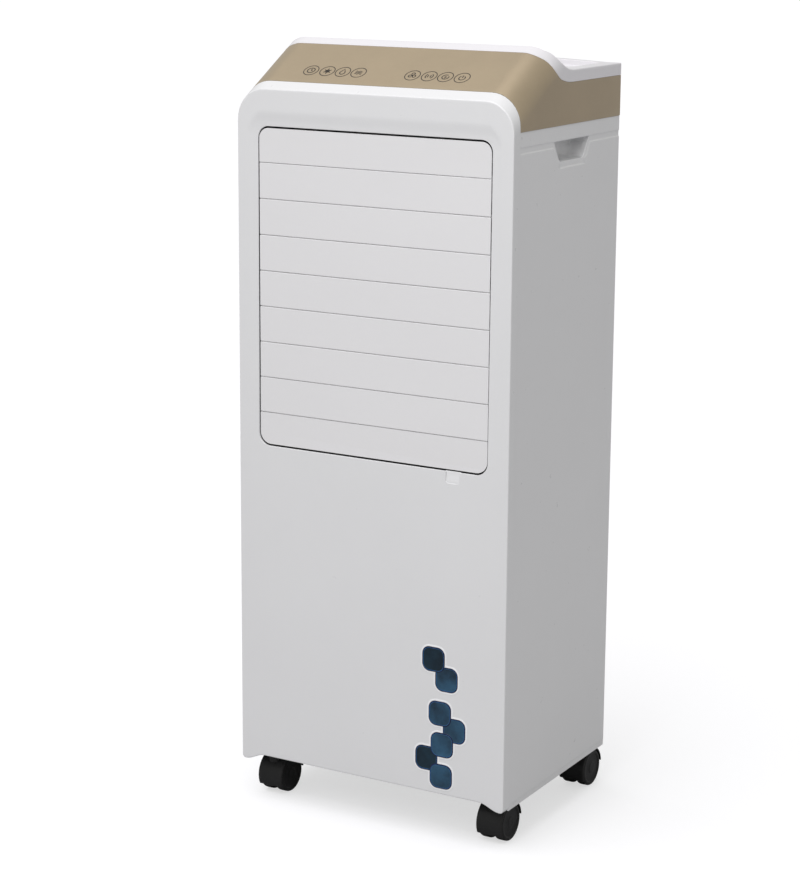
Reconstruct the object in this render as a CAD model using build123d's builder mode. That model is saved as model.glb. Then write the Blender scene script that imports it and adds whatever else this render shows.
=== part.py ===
"""Tower evaporative air cooler on four casters.

The origin is on the floor, at the centre of the whole object's footprint.  The front faces -Y.
Most places are given as x, a depth behind the front face and a height above the cabinet's
bottom edge, because that is how the mouldings line up with each other.
"""
from build123d import *
import math
import os

os.makedirs("parts", exist_ok=True)

# ------------------------------------------------------------------ cabinet
body_width = 400
body_depth = 292
body_height = 896
caster_height = 60
wall = 2.5
seam = 0.3
panel_inset = 0.8
outline_radius = 40
foot_radius = 5
foot_drop = 6
foot_width = 6
foot_run = 29
front_edge_rise = 3
skirt_drop = (7, 1.5)
head_slope = 30
lip_depth = 16.5
front_wall = 3

# ------------------------------------------------------------------ head: gold band and white cover
band_bottom = 859
rim_front = 91.5
rim_height = 15.5
deck_height = 926.5
deck_crown = 4.5
crest_depth = 105.5
sweep_foot = 150
tray_size = (356, 124)
tray_depth = 6
tray_middle = 217

# ------------------------------------------------------------------ air outlet
opening_width = 340
opening_bottom = 432.5
opening_top = 849
opening_top_radius = 15
opening_bottom_radius = 17
notch_centre = 120.5
notch_size = (19.6, 15)
slat_count = 9
slat_pitch = 46.5
slat_lap = 3
slat_joint = 1
slat_thickness = 1.8
slat_clearance = 0.4
slat_face_depth = 2.4
slat_gap = 2.4
slat_side_gap = 1.4
slat_pivot_depth = 9
slat_crank = 14
pin_radius = 2.5
crank_pin_radius = 1.5
running_gap = 0.07
loose_gap = 0.2
slat_boss_radius = 4.5
slat_ear = 12
crank_radius = 4
crank_arm_half = 3
crank_gap = 5
crank_thickness = 3
link_half_width = 4
link_end = 6
tilt_motor_radius = 12
swing_motor_radius = 14
swing_motor_height = 19
duct_wall = 3
duct_back = 88
duct_flange = 15
vane_count = 5
vane_pitch = 68
vane_pivot_depth = 62
vane_chord = 46
vane_crank = 12
vane_half_thickness = 1
vane_boss_half = 3
vane_bottom = 443
vane_top = 841
swing_crank_x = 34

# ------------------------------------------------------------------ water level windows
tile_size = 33.2
tile_radius = 10.5
tile_rim = 2
tile_rim_rise = 0.8
upper_tiles = [(96.3, 183.4), (115.6, 158.9)]
lower_tiles = [(106.4, 112.1), (127.6, 92.1), (109.9, 70.1), (87.1, 48.9), (108.8, 27.4)]

# ------------------------------------------------------------------ handles and flanges of the sides
grip_top = 840
grip_bottom = 813
grip_depths = (108, 206)
grip_floor_depths = (124, 191)
grip_reach = 28
grip_radius = 6
grip_roof = 12
groove_width = 7
groove_border = 5
flange_front = 10
flange_rear = 16
flange_foot = 8

# ------------------------------------------------------------------ rear wall, base and chassis
rear_screw_heights = (30, 300, 580, 840)
rear_screw_x = 189
rear_screw_radius = 1.6
rear_screw_length = 11
screw_head = (3.6, 2.4)
gland_x = -172
gland_height = 42
gland_radius = 8
gland_collar = (11, 4)
gland_nose = (6.5, 9)
cord_radius = 3.6
base_heights = (4, 7)
socket_radius = 9
socket_collar = 13
socket_heights = (0.5, 33)
chassis_wall = 3
floor_height = 235
drip_half_width = 140
hose_hole = 7.5

# ------------------------------------------------------------------ filter, pad and water path
filter_half_width = 151
filter_heights = (331, 831)
filter_border = 14
filter_thickness = 10
filter_bars = 24
filter_bar_half = 1.2
filter_ribs = (-62, 0, 62)
filter_cage = (147, 149)
pad_depths = (240, 281.7)
pad_half_width = 146.8
trough_half_width = 148
trough_wall = 2
trough_height = 17.5
drip_hole_radius = 1.5
drip_hole_count = 14
drip_hole_pitch = 20
feed_depth = 262
hose_radius = 5
hose_bore = 3.4
hose_x = 170
pump_x = 130
pump_depth = 238
pump_heights = (14, 58)
pump_outlet_top = 72
tank_half_width = 148.5
tank_front = 24
tank_bottom = 7.3
tank_top = 225
tank_grip = (54, 161, 199)
tank_grip_reach = 23
grip_rim = 3
plug_x = -100
plug_height = 22
plug_hole_radius = 6
plug_play = 0.07
plug_head_radius = 10

# ------------------------------------------------------------------ fan
fan_height = (opening_bottom + opening_top) / 2
orifice_radius = 150
fan_radius = 142
hub_radius = 38
blade_count = 5
blade_pitch_angle = 28
blade_root = 30
blade_width = 60
blade_thickness = 2.5
blade_middle = 116
hub_half_length = 18
motor_radius = 48
motor_face = 150
motor_length = 55
motor_edge = 8
shaft_radius = 4
shaft_nut = (9, 7)
strut = (6, 14)

# ------------------------------------------------------------------ electronics
control_board_depth = 44
control_board_size = (270, 42)
control_board_drop = 8
board_thickness = 1.6
pillar_radius = 3
pillar_spacing = (250, 30)
power_board_gap = 12
power_board_depths = (135, 225)
power_board_heights = (600, 720)
pillar_inset = 7
transformer = ((150, 185), (620, 660), 14)
terminal_block = ((190, 215), (625, 700), 10)
capacitor = (8, 166, 690, 16)

# ------------------------------------------------------------------ casters
wheel_radius = 25
wheel_gap = 4
wheel_outer = 18.2
caster_trail = 13
caster_x = 169
caster_front_inset = 35
caster_rear_inset = 21
hood_radius = 28.5
hood_half_width = 18.7
hood_front_edge = 12
hood_rear_edge = 28
wheel_clearance = 1.2
web_play = 0.6
web_radius = 11
stem_radius = 5
stem_boss = 9
stem_bottom = -9
stem_top = 30
axle_radius = 3
axle_reach = 15
tyre_edge = 2
dish_radius = 18
dish_depth = 1.2
hub_cap_radius = 8

# ------------------------------------------------------------------ places that follow from these
# the rear caster hoods stand out behind the cabinet
rear_overhang = caster_trail + hood_radius - caster_rear_inset
front_y = -(body_depth + tile_rim_rise + rear_overhang) / 2 + tile_rim_rise
half_width = body_width / 2
side_x = half_width - panel_inset
slope_rise = math.tan(math.radians(head_slope))
slope_run = math.cos(math.radians(head_slope))
slope_direction = (0, slope_run, math.sin(math.radians(head_slope)))
axle_height = wheel_radius - caster_height
caster_depths = {"front": caster_front_inset, "rear": body_depth - caster_rear_inset}
slat_pivots = [opening_top - slat_pitch * (k + 0.5) for k in range(slat_count)]
vane_places = [vane_pitch * (k - (vane_count - 1) / 2) for k in range(vane_count)]
finished = []


# ------------------------------------------------------------------ planes and plain shapes
def facing(depth):
    """A plane parallel to the front face: local x is across, local y is height."""
    return Plane(origin=(0, front_y + depth, caster_height), x_dir=(1, 0, 0), z_dir=(0, -1, 0))


def beside(x):
    """A plane parallel to the sides: local x is depth, local y is height."""
    return Plane(origin=(x, front_y, caster_height), x_dir=(0, 1, 0), z_dir=(1, 0, 0))


def level(height):
    """A level plane: local x is across, local y is depth."""
    return Plane(origin=(0, front_y, caster_height + height))


def slope_height(depth):
    """Height of the sloping top surface at a depth."""
    return body_height + depth * slope_rise


def place(x, depth, height):
    return (x, front_y + depth, caster_height + height)


def block(x, depth, height, mode=Mode.ADD):
    """A box given by its low and high limits on the three axes."""
    middle = place(sum(x) / 2, sum(depth) / 2, sum(height) / 2)
    with Locations(middle):
        Box(x[1] - x[0], depth[1] - depth[0], height[1] - height[0], mode=mode)


def rod_x(radius, x, depth, height, mode=Mode.ADD):
    """A round bar across the cabinet, between two x limits."""
    with Locations(Location(place(sum(x) / 2, depth, height), (0, 90, 0))):
        Cylinder(radius, x[1] - x[0], mode=mode)


def rod_y(radius, x, depth, height, mode=Mode.ADD):
    """A round bar along the depth, between two depth limits."""
    with Locations(Location(place(x, sum(depth) / 2, height), (90, 0, 0))):
        Cylinder(radius, depth[1] - depth[0], mode=mode)


def rod_z(radius, x, depth, height, mode=Mode.ADD):
    """An upright round bar, between two height limits."""
    with Locations(place(x, depth, sum(height) / 2)):
        Cylinder(radius, height[1] - height[0], mode=mode)


def arch(depth, inset, foot):
    """The cabinet's front outline at a depth: upright sides and round top corners."""
    top = slope_height(depth) - inset
    with BuildSketch(facing(depth)) as outline:
        with Locations((0, (top + foot) / 2)):
            Rectangle(body_width - 2 * inset, top - foot)
        fillet(outline.vertices().group_by(Axis.Y)[-1], outline_radius - inset)
    return outline.sketch


def keep(builder, label):
    """Name a finished sub-part and write it."""
    builder.part.label = label
    finished.append(label)
    export_step(builder.part, f"parts/{label}.step")


# ------------------------------------------------------------------ front panel and its windows
def opening_outline():
    with BuildSketch(facing(0)) as outline:
        with Locations((0, fan_height)):
            Rectangle(opening_width, opening_top - opening_bottom)
        fillet(outline.vertices().group_by(Axis.Y)[-1], opening_top_radius)
        fillet(outline.vertices().group_by(Axis.Y)[0], opening_bottom_radius)
    return outline.sketch


def tile_outline(tiles, depth, grow):
    """Rounded squares that overlap corner over corner."""
    with BuildSketch(facing(depth)) as outline:
        with Locations(tiles):
            RectangleRounded(tile_size + 2 * grow, tile_size + 2 * grow, tile_radius + grow)
    return outline.sketch


def below_front():
    """Everything below the front panel's lower edge, which drops to a foot at each corner."""
    foot_start = half_width - foot_width
    foot_end = foot_start - foot_run
    beyond = half_width + 5
    with BuildSketch(facing(-1)) as region:
        with BuildLine():
            left = Spline([(-foot_start, -foot_drop), (-foot_end, front_edge_rise)],
                          tangents=[(1, 0), (1, 0)])
            right = Spline([(foot_end, front_edge_rise), (foot_start, -foot_drop)],
                           tangents=[(1, 0), (1, 0)])
            Line(left @ 1, right @ 0)
            Polyline(right @ 1, (beyond, -foot_drop), (beyond, -40), (-beyond, -40), (-beyond, -foot_drop),
                     left @ 0)
        make_face()
    return region.sketch


with BuildPart() as front_panel:
    extrude(arch(0, 0, -20), amount=lip_depth / slope_run, dir=slope_direction)
    extrude(below_front(), amount=-lip_depth - 2, mode=Mode.SUBTRACT)
    corners = front_panel.edges().filter_by(Axis.Y).group_by(Axis.Z)[0].sort_by(Axis.X)
    fillet((corners[0], corners[-1]), foot_radius)
    extrude(arch(front_wall, front_wall, -20), amount=lip_depth / slope_run, dir=slope_direction,
            mode=Mode.SUBTRACT)
    extrude(opening_outline(), amount=-front_wall, mode=Mode.SUBTRACT)
    with BuildSketch(facing(0)) as notch:
        with Locations((notch_centre, opening_bottom + 1 - notch_size[1] / 2)):
            Rectangle(*notch_size)
        fillet(notch.vertices().group_by(Axis.Y)[0], 3)
    extrude(amount=-front_wall, mode=Mode.SUBTRACT)
    for tiles in (upper_tiles, lower_tiles):
        extrude(tile_outline(tiles, 0, tile_rim), amount=tile_rim_rise)
    for tiles in (upper_tiles, lower_tiles):
        extrude(tile_outline(tiles, -tile_rim_rise, 0), amount=-front_wall - tile_rim_rise,
                mode=Mode.SUBTRACT)
keep(front_panel, "front_panel")


def window(label, tiles):
    """A clear moulding that fills its cut-out and has a flange behind the panel."""
    with BuildPart() as lens:
        extrude(tile_outline(tiles, 0, -seam / 2), amount=-front_wall)
        extrude(tile_outline(tiles, front_wall, tile_rim), amount=-wall)
    keep(lens, label)


window("upper_window", upper_tiles)
window("lower_window", lower_tiles)


# ------------------------------------------------------------------ side panels with handle pockets
def side_panel(label, side):
    """A side wall. side is 1 on the right and -1 on the left."""
    def inward(near, far):
        return tuple(sorted((side * (side_x - near), side * (side_x - far))))

    with BuildPart() as panel:
        # the lower edge drops towards the front
        with BuildSketch(beside(side * side_x)) as wall_outline:
            with BuildLine():
                Polyline((lip_depth + seam, -skirt_drop[0]), (body_depth, -skirt_drop[1]),
                         (body_depth, band_bottom - seam), (lip_depth + seam, band_bottom - seam),
                         close=True)
            make_face()
            fillet(wall_outline.vertices().group_by(Axis.X)[-1].sort_by(Axis.Y)[0], 4)
        extrude(amount=-side * wall)
        upright = (flange_foot, band_bottom - seam)
        block(inward(wall, flange_front), (lip_depth + seam, lip_depth + seam + wall), upright)
        block(inward(wall, flange_rear), (body_depth - front_wall - wall, body_depth - front_wall), upright)
        block(inward(wall, grip_reach + wall), (grip_depths[0] - wall, grip_depths[1] + wall),
              (grip_bottom - wall, grip_top + grip_roof + wall))
        with BuildSketch(beside(side * side_x)) as mouth:
            with BuildLine():
                Polyline((grip_depths[0], grip_top), (grip_depths[1], grip_top),
                         (grip_floor_depths[1], grip_bottom), (grip_floor_depths[0], grip_bottom),
                         close=True)
            make_face()
            fillet(mouth.vertices().group_by(Axis.Y)[0], grip_radius)
        extrude(amount=-side * grip_reach, mode=Mode.SUBTRACT)
        block(inward(wall * 2, grip_reach), (grip_depths[0] + 2, grip_depths[1] - 2),
              (grip_top - 6, grip_top + grip_roof), mode=Mode.SUBTRACT)
        with BuildSketch(beside(side * side_x)):
            with BuildLine():
                Polyline((lip_depth, grip_top), (body_depth, grip_top),
                         (body_depth, grip_top - groove_width),
                         (grip_depths[1] + groove_border, grip_top - groove_width),
                         (grip_floor_depths[1] + groove_border, grip_bottom - groove_width),
                         (grip_floor_depths[0] - groove_border, grip_bottom - groove_width),
                         (grip_depths[0] - groove_border, grip_top - groove_width),
                         (lip_depth, grip_top - groove_width), close=True)
            make_face()
        extrude(amount=-side * panel_inset, mode=Mode.SUBTRACT)
        for height in rear_screw_heights:
            rod_y(rear_screw_radius, side * rear_screw_x, (body_depth - rear_screw_length - 1, body_depth),
                  height, mode=Mode.SUBTRACT)
    keep(panel, label)


side_panel("side_panel_right", 1)
side_panel("side_panel_left", -1)


# ------------------------------------------------------------------ head
def sweep_down(start, level_height):
    """The curve from the sloping top down to the level deck, in depth and height."""
    depth, height = start
    drop = height - level_height
    return Spline([start,
                   (depth + 7, level_height + 0.73 * drop),
                   (depth + 17, level_height + 0.36 * drop),
                   (depth + 32, level_height + 0.11 * drop),
                   (sweep_foot, level_height)], tangents=[(0.2, -1), (1, 0)])


def above_seam(gap):
    """Everything above the line where the white cover meets the gold band."""
    low = deck_height - rim_height - gap
    start = (rim_front - gap, slope_height(rim_front) + 1)
    with BuildSketch(beside(0)) as region:
        with BuildLine():
            line = sweep_down(start, low)
            Polyline(line @ 1, (body_depth + 5, low), (body_depth + 5, 1200), (start[0], 1200), line @ 0)
        make_face()
    return region.sketch


def above_cover():
    """Everything above the white cover's top surface."""
    start = (crest_depth, slope_height(crest_depth) + 1)
    with BuildSketch(beside(0)) as region:
        with BuildLine():
            line = sweep_down(start, deck_height)
            Polyline(line @ 1, (body_depth + 5, deck_height), (body_depth + 5, 1200), (start[0], 1200),
                     line @ 0)
        make_face()
    return region.sketch


with BuildPart() as control_fascia:
    band_front = lip_depth + seam
    extrude(arch(band_front, 0, 600), amount=(body_depth - band_front) / slope_run, dir=slope_direction)
    extrude(arch(band_front, wall, 500), amount=(body_depth - wall - band_front) / slope_run,
            dir=slope_direction, mode=Mode.SUBTRACT)
    block((-half_width, half_width), (0, body_depth + 1), (500, band_bottom), mode=Mode.SUBTRACT)
    extrude(above_seam(seam), amount=half_width + 1, both=True, mode=Mode.SUBTRACT)
keep(control_fascia, "control_fascia")

with BuildPart() as top_cover:
    extrude(arch(rim_front - 5, 0, 600), amount=(body_depth - rim_front + 5) / slope_run,
            dir=slope_direction)
    extrude(above_seam(0), amount=half_width + 1, both=True, mode=Mode.INTERSECT)
    extrude(above_cover(), amount=half_width + 1, both=True, mode=Mode.SUBTRACT)
    # the hollow under the deck leaves a skirt all round
    tray_floor = deck_height - tray_depth - 3.5
    with BuildSketch(beside(0)):
        with BuildLine():
            Polyline((118, 880), (body_depth - wall, 880), (body_depth - wall, tray_floor),
                     (sweep_foot, tray_floor), (118, tray_floor + 7), close=True)
        make_face()
    extrude(amount=half_width - wall - 1, both=True, mode=Mode.SUBTRACT)
    with BuildSketch(level(deck_height)):
        with Locations((0, tray_middle)):
            RectangleRounded(*tray_size, 12)
    extrude(amount=-tray_depth, mode=Mode.SUBTRACT)
    # the strip behind the tray is crowned
    with BuildSketch(facing(body_depth)):
        with BuildLine():
            ends = ((-half_width, deck_height - 1), (half_width, deck_height - 1))
            ThreePointArc(ends[0], (0, deck_height + deck_crown), ends[1])
            Line(ends[1], ends[0])
        make_face()
    extrude(amount=body_depth - tray_middle - tray_size[1] / 2)
keep(top_cover, "top_cover")


# ------------------------------------------------------------------ rear frame, base and chassis
with BuildPart() as rear_frame:
    block((-side_x + wall, side_x - wall), (body_depth - front_wall, body_depth), (0, band_bottom - seam))
    block((-filter_half_width - 1, filter_half_width + 1), (0, 400),
          (filter_heights[0] - 1, filter_heights[1] + 1), mode=Mode.SUBTRACT)
    block((-tank_half_width - 1.5, tank_half_width + 1.5), (0, 400), (base_heights[1], tank_top + 2),
          mode=Mode.SUBTRACT)
    rod_y(gland_radius, gland_x, (0, 400), gland_height, mode=Mode.SUBTRACT)
    for side in (-1, 1):
        for height in rear_screw_heights:
            rod_y(rear_screw_radius, side * rear_screw_x, (0, 400), height, mode=Mode.SUBTRACT)
keep(rear_frame, "rear_frame")

with BuildPart() as cabinet_screws:
    for side in (-1, 1):
        for height in rear_screw_heights:
            shank = (body_depth - rear_screw_length, body_depth)
            rod_y(rear_screw_radius, side * rear_screw_x, shank, height)
            rod_y(screw_head[0], side * rear_screw_x, (body_depth, body_depth + screw_head[1]), height)
keep(cabinet_screws, "cabinet_screws")

with BuildPart() as cord_gland:
    rod_y(gland_radius, gland_x, (body_depth - 9, body_depth), gland_height)
    rod_y(gland_collar[0], gland_x, (body_depth, body_depth + gland_collar[1]), gland_height)
    rod_y(gland_nose[0], gland_x, (body_depth, body_depth + gland_nose[1]), gland_height)
    rod_y(cord_radius, gland_x, (0, 400), gland_height, mode=Mode.SUBTRACT)
keep(cord_gland, "cord_gland")

caster_spots = [(side * caster_x, depth) for side in (-1, 1) for depth in caster_depths.values()]

with BuildPart() as base_plate:
    block((-side_x + wall, side_x - wall), (front_wall, body_depth - front_wall), base_heights)
    for x, depth in caster_spots:
        rod_z(socket_radius, x, depth, (0, 10), mode=Mode.SUBTRACT)
keep(base_plate, "base_plate")

with BuildPart() as caster_sockets:
    for x, depth in caster_spots:
        rod_z(socket_radius, x, depth, socket_heights)
        rod_z(socket_collar, x, depth, (base_heights[1], base_heights[1] + wall))
        rod_z(stem_radius + running_gap, x, depth, (-5, stem_top + 0.5), mode=Mode.SUBTRACT)
keep(caster_sockets, "caster_sockets")

bulkhead_half = side_x - wall - 8
with BuildPart() as inner_chassis:
    block((-bulkhead_half, bulkhead_half), (20, body_depth - 6),
          (floor_height, floor_height + chassis_wall))
    block((-bulkhead_half, bulkhead_half), (duct_back, duct_back + chassis_wall),
          (floor_height, band_bottom - 2))
    rod_y(orifice_radius + chassis_wall, 0, (duct_back, motor_face), fan_height)
    rod_y(orifice_radius, 0, (0, 400), fan_height, mode=Mode.SUBTRACT)
    for turn in (45, 135):
        with Locations(Location(place(0, motor_face - strut[0] / 2, fan_height), (0, turn, 0))):
            Box(2 * orifice_radius + 2, *strut)
    rod_y(motor_radius - 6, 0, (motor_face - strut[0], motor_face), fan_height)
    rod_y(3 * shaft_radius, 0, (0, 400), fan_height, mode=Mode.SUBTRACT)
    # the drip slot under the cooling pad and the hole for the hose
    block((-drip_half_width, drip_half_width), (pad_depths[0] + 12, pad_depths[1] - 6),
          (0, floor_height + 5), mode=Mode.SUBTRACT)
    rod_z(hose_hole, pump_x, pump_depth, (0, floor_height + 5), mode=Mode.SUBTRACT)
keep(inner_chassis, "inner_chassis")


# ------------------------------------------------------------------ outlet duct with the louvre pivots
inside = opening_width / 2
with BuildPart() as outlet_duct:
    block((-inside - duct_wall, inside + duct_wall), (front_wall + seam, duct_back),
          (opening_bottom - duct_wall, opening_top + duct_wall))
    block((-inside - duct_flange, inside + duct_flange), (front_wall, front_wall + 2),
          (opening_bottom - duct_flange, opening_top + duct_flange - 1))
    block((-inside, inside), (0, 400), (opening_bottom, opening_top), mode=Mode.SUBTRACT)
    for height in slat_pivots:
        rod_x(pin_radius + running_gap, (-190, 190), slat_pivot_depth, height, mode=Mode.SUBTRACT)
    for x in vane_places:
        rod_z(pin_radius + running_gap, x, vane_pivot_depth, (400, 900), mode=Mode.SUBTRACT)
    rod_z(pin_radius + running_gap, swing_crank_x, vane_pivot_depth, (400, 500), mode=Mode.SUBTRACT)
keep(outlet_duct, "outlet_duct")

motor_slat = slat_count // 2
with BuildPart() as stepper_motors:
    rod_x(tilt_motor_radius, (inside + duct_wall, side_x - 11), slat_pivot_depth + 8.5,
          slat_pivots[motor_slat])
    rod_x(pin_radius + running_gap, (inside, side_x - 12), slat_pivot_depth, slat_pivots[motor_slat],
          mode=Mode.SUBTRACT)
    rod_z(swing_motor_radius, swing_crank_x, vane_pivot_depth,
          (opening_bottom - duct_wall - swing_motor_height, opening_bottom - duct_wall))
    rod_z(pin_radius + running_gap, swing_crank_x, vane_pivot_depth, (417, 440), mode=Mode.SUBTRACT)
keep(stepper_motors, "stepper_motors")


# ------------------------------------------------------------------ louvre slats and their link
def slat(number):
    """One slat: a plate with a tongue behind the slat above, two bosses, pins and a crank."""
    pivot = slat_pivots[number]
    first = number == 0
    last = number == slat_count - 1
    bottom = opening_top - slat_pitch * (number + 1) + slat_joint / 2
    if last:
        bottom = opening_bottom + slat_gap
    top = opening_top - slat_pitch * number - slat_joint / 2
    back = slat_face_depth + slat_thickness
    tongue_front = back + slat_clearance
    tongue_back = tongue_front + slat_thickness
    tongue_top = top + slat_joint + slat_lap
    rear_edge = [(back, top - 5), (tongue_back, top - 2), (tongue_back, tongue_top),
                 (tongue_front, tongue_top), (tongue_front, top)]
    if first:
        top = opening_top - slat_gap
        rear_edge = [(back, top)]
    reach = inside - slat_side_gap
    with BuildPart() as piece:
        with BuildSketch(beside(-reach)):
            with BuildLine():
                Polyline((slat_face_depth, top), (slat_face_depth, bottom), (back, bottom), *rear_edge,
                         close=True)
            make_face()
        extrude(amount=2 * reach)
        upright = piece.edges().filter_by(Axis.Y)
        if first:
            fillet(upright.group_by(Axis.Z)[-1], opening_top_radius - slat_side_gap)
        if last:
            fillet(upright.group_by(Axis.Z)[0], opening_bottom_radius - slat_side_gap)
        for side in (-1, 1):
            ear = sorted((side * reach, side * (reach - slat_ear)))
            rod_x(slat_boss_radius, ear, slat_pivot_depth, pivot)
            block(ear, (back - 0.5, slat_pivot_depth), (pivot - slat_boss_radius, pivot + slat_boss_radius))
        right_end = side_x - 14 if number == motor_slat else inside + duct_wall
        rod_x(pin_radius, (-inside - crank_gap, -reach), slat_pivot_depth, pivot)
        rod_x(pin_radius, (reach, right_end), slat_pivot_depth, pivot)
        # the crank outside the left cheek, with its pin in the link
        crank = (-inside - crank_gap - crank_thickness, -inside - crank_gap)
        rod_x(crank_radius, crank, slat_pivot_depth, pivot)
        rod_x(crank_radius, crank, slat_pivot_depth + slat_crank, pivot)
        block(crank, (slat_pivot_depth, slat_pivot_depth + slat_crank),
              (pivot - crank_arm_half, pivot + crank_arm_half))
        rod_x(crank_pin_radius, (crank[0] - 4.5, crank[0]), slat_pivot_depth + slat_crank, pivot)
    keep(piece, f"slat_{number + 1}")


for number in range(slat_count):
    slat(number)

with BuildPart() as louvre_link:
    link_depth = slat_pivot_depth + slat_crank
    link_x = (-inside - crank_gap - crank_thickness - 4, -inside - crank_gap - crank_thickness - 1)
    block(link_x, (link_depth - link_half_width, link_depth + link_half_width),
          (slat_pivots[-1] - link_end, slat_pivots[0] + link_end))
    for number, height in enumerate(slat_pivots):
        gap = running_gap if number == 0 else loose_gap
        rod_x(crank_pin_radius + gap, (-200, -150), link_depth, height, mode=Mode.SUBTRACT)
keep(louvre_link, "louvre_link")


# ------------------------------------------------------------------ upright vanes, their link and crank
def crank_foot(x):
    """The two bosses and the crank pin under a vane or the swing crank."""
    boss = (vane_bottom - vane_boss_half, vane_bottom + vane_boss_half)
    rod_z(crank_radius, x, vane_pivot_depth, boss)
    rod_z(crank_radius, x, vane_pivot_depth + vane_crank, boss)
    rod_z(crank_pin_radius, x, vane_pivot_depth + vane_crank, (vane_bottom - 8.5, boss[0]))


def vane(number):
    x = vane_places[number]
    with BuildPart() as piece:
        block((x - vane_half_thickness, x + vane_half_thickness),
              (vane_pivot_depth - vane_chord / 2, vane_pivot_depth + vane_chord / 2), (vane_bottom, vane_top))
        crank_foot(x)
        rod_z(pin_radius, x, vane_pivot_depth, (opening_bottom - duct_wall, vane_bottom - vane_boss_half))
        rod_z(crank_radius, x, vane_pivot_depth, (vane_top - vane_boss_half, vane_top + vane_boss_half))
        rod_z(pin_radius, x, vane_pivot_depth, (vane_top + vane_boss_half, opening_top + duct_wall))
    keep(piece, f"vane_{number + 1}")


for number in range(vane_count):
    vane(number)

with BuildPart() as swing_crank:
    crank_foot(swing_crank_x)
    block((swing_crank_x - crank_arm_half, swing_crank_x + crank_arm_half),
          (vane_pivot_depth, vane_pivot_depth + vane_crank),
          (vane_bottom - vane_boss_half, vane_bottom + vane_boss_half))
    rod_z(pin_radius, swing_crank_x, vane_pivot_depth, (418, vane_bottom - vane_boss_half))
keep(swing_crank, "swing_crank")

with BuildPart() as vane_link:
    bar_depth = vane_pivot_depth + vane_crank
    block((vane_places[0] - link_end, vane_places[-1] + link_end),
          (bar_depth - link_half_width, bar_depth + link_half_width),
          (vane_bottom - 7.5, vane_bottom - 4))
    for x in vane_places + [swing_crank_x]:
        gap = running_gap if x == vane_places[0] else loose_gap
        rod_z(crank_pin_radius + gap, x, bar_depth, (400, 500), mode=Mode.SUBTRACT)
keep(vane_link, "vane_link")


# ------------------------------------------------------------------ fan
with BuildPart() as fan_motor:
    rod_y(motor_radius, 0, (motor_face, motor_face + motor_length), fan_height)
    fillet(fan_motor.edges().filter_by(GeomType.CIRCLE).sort_by(Axis.Y)[-1], motor_edge)
    rod_y(shaft_radius + running_gap, 0, (0, motor_face + motor_length - 3), fan_height, mode=Mode.SUBTRACT)
keep(fan_motor, "fan_motor")

with BuildPart() as fan_blades:
    rod_y(hub_radius, 0, (blade_middle - hub_half_length, blade_middle + hub_half_length), fan_height)
    for k in range(blade_count):
        turn = 360 * k / blade_count
        blade = Location(place(0, blade_middle, fan_height), (0, turn, 0))
        tilted = blade * Location(((fan_radius + blade_root) / 2, 0, 0), (blade_pitch_angle, 0, 0))
        with Locations(tilted):
            Box(fan_radius - blade_root, blade_thickness, blade_width)
    rod_y(shaft_radius, 0, (0, 400), fan_height, mode=Mode.SUBTRACT)
keep(fan_blades, "fan_blades")

with BuildPart() as fan_shaft:
    rod_y(shaft_radius, 0, (blade_middle - hub_half_length - 12, motor_face + motor_length - 5), fan_height)
    with BuildSketch(facing(blade_middle - hub_half_length)):
        with Locations((0, fan_height)):
            RegularPolygon(shaft_nut[0], 6)
            Circle(shaft_radius - 0.5, mode=Mode.SUBTRACT)
    extrude(amount=shaft_nut[1])
keep(fan_shaft, "fan_shaft")


# ------------------------------------------------------------------ filter, pad and water path
with BuildPart() as filter_frame:
    low, high = filter_heights
    grille = (body_depth - filter_thickness, body_depth)
    block((-filter_half_width, filter_half_width), grille, (low, high))
    block((-filter_half_width + filter_border, filter_half_width - filter_border), (0, 400),
          (low + filter_border, high - filter_border), mode=Mode.SUBTRACT)
    bar_half_width = filter_half_width - filter_border + 1
    for k in range(1, filter_bars):
        height = low + filter_border + (high - low - 2 * filter_border) * k / filter_bars
        block((-bar_half_width, bar_half_width), (body_depth - 8, body_depth - 2),
              (height - filter_bar_half, height + filter_bar_half))
    for x in filter_ribs:
        block((x - 2, x + 2), (body_depth - 9, body_depth - 3),
              (low + filter_border - 1, high - filter_border + 1))
    for side in (-1, 1):
        cheek = sorted((side * filter_cage[0], side * filter_cage[1]))
        block(cheek, (pad_depths[0], grille[0]), (low + 2, high - 2))
    block((-filter_cage[1], filter_cage[1]), (pad_depths[0], grille[0]), (low + 2, low + 4))
keep(filter_frame, "filter_frame")

with BuildPart() as cooling_pad:
    block((-pad_half_width, pad_half_width), pad_depths, (filter_heights[0] + 4.2, filter_heights[1] - 4))
keep(cooling_pad, "cooling_pad")

with BuildPart() as water_distributor:
    trough_foot = filter_heights[1] + 2.5
    trough = (trough_foot, trough_foot + trough_height)
    hollow = trough_half_width - trough_wall
    block((-trough_half_width, trough_half_width), (pad_depths[0], body_depth - 4), trough)
    block((-hollow, hollow), (pad_depths[0] + trough_wall, body_depth - 4 - trough_wall),
          (trough[0] + trough_wall, trough[1] + 5), mode=Mode.SUBTRACT)
    for k in range(drip_hole_count):
        x = drip_hole_pitch * (k - (drip_hole_count - 1) / 2)
        rod_z(drip_hole_radius, x, feed_depth, (trough[0] - 5, trough[1]), mode=Mode.SUBTRACT)
    rod_x(hose_radius, (140, 160), feed_depth, trough[0] + 10, mode=Mode.SUBTRACT)
keep(water_distributor, "water_distributor")

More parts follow.
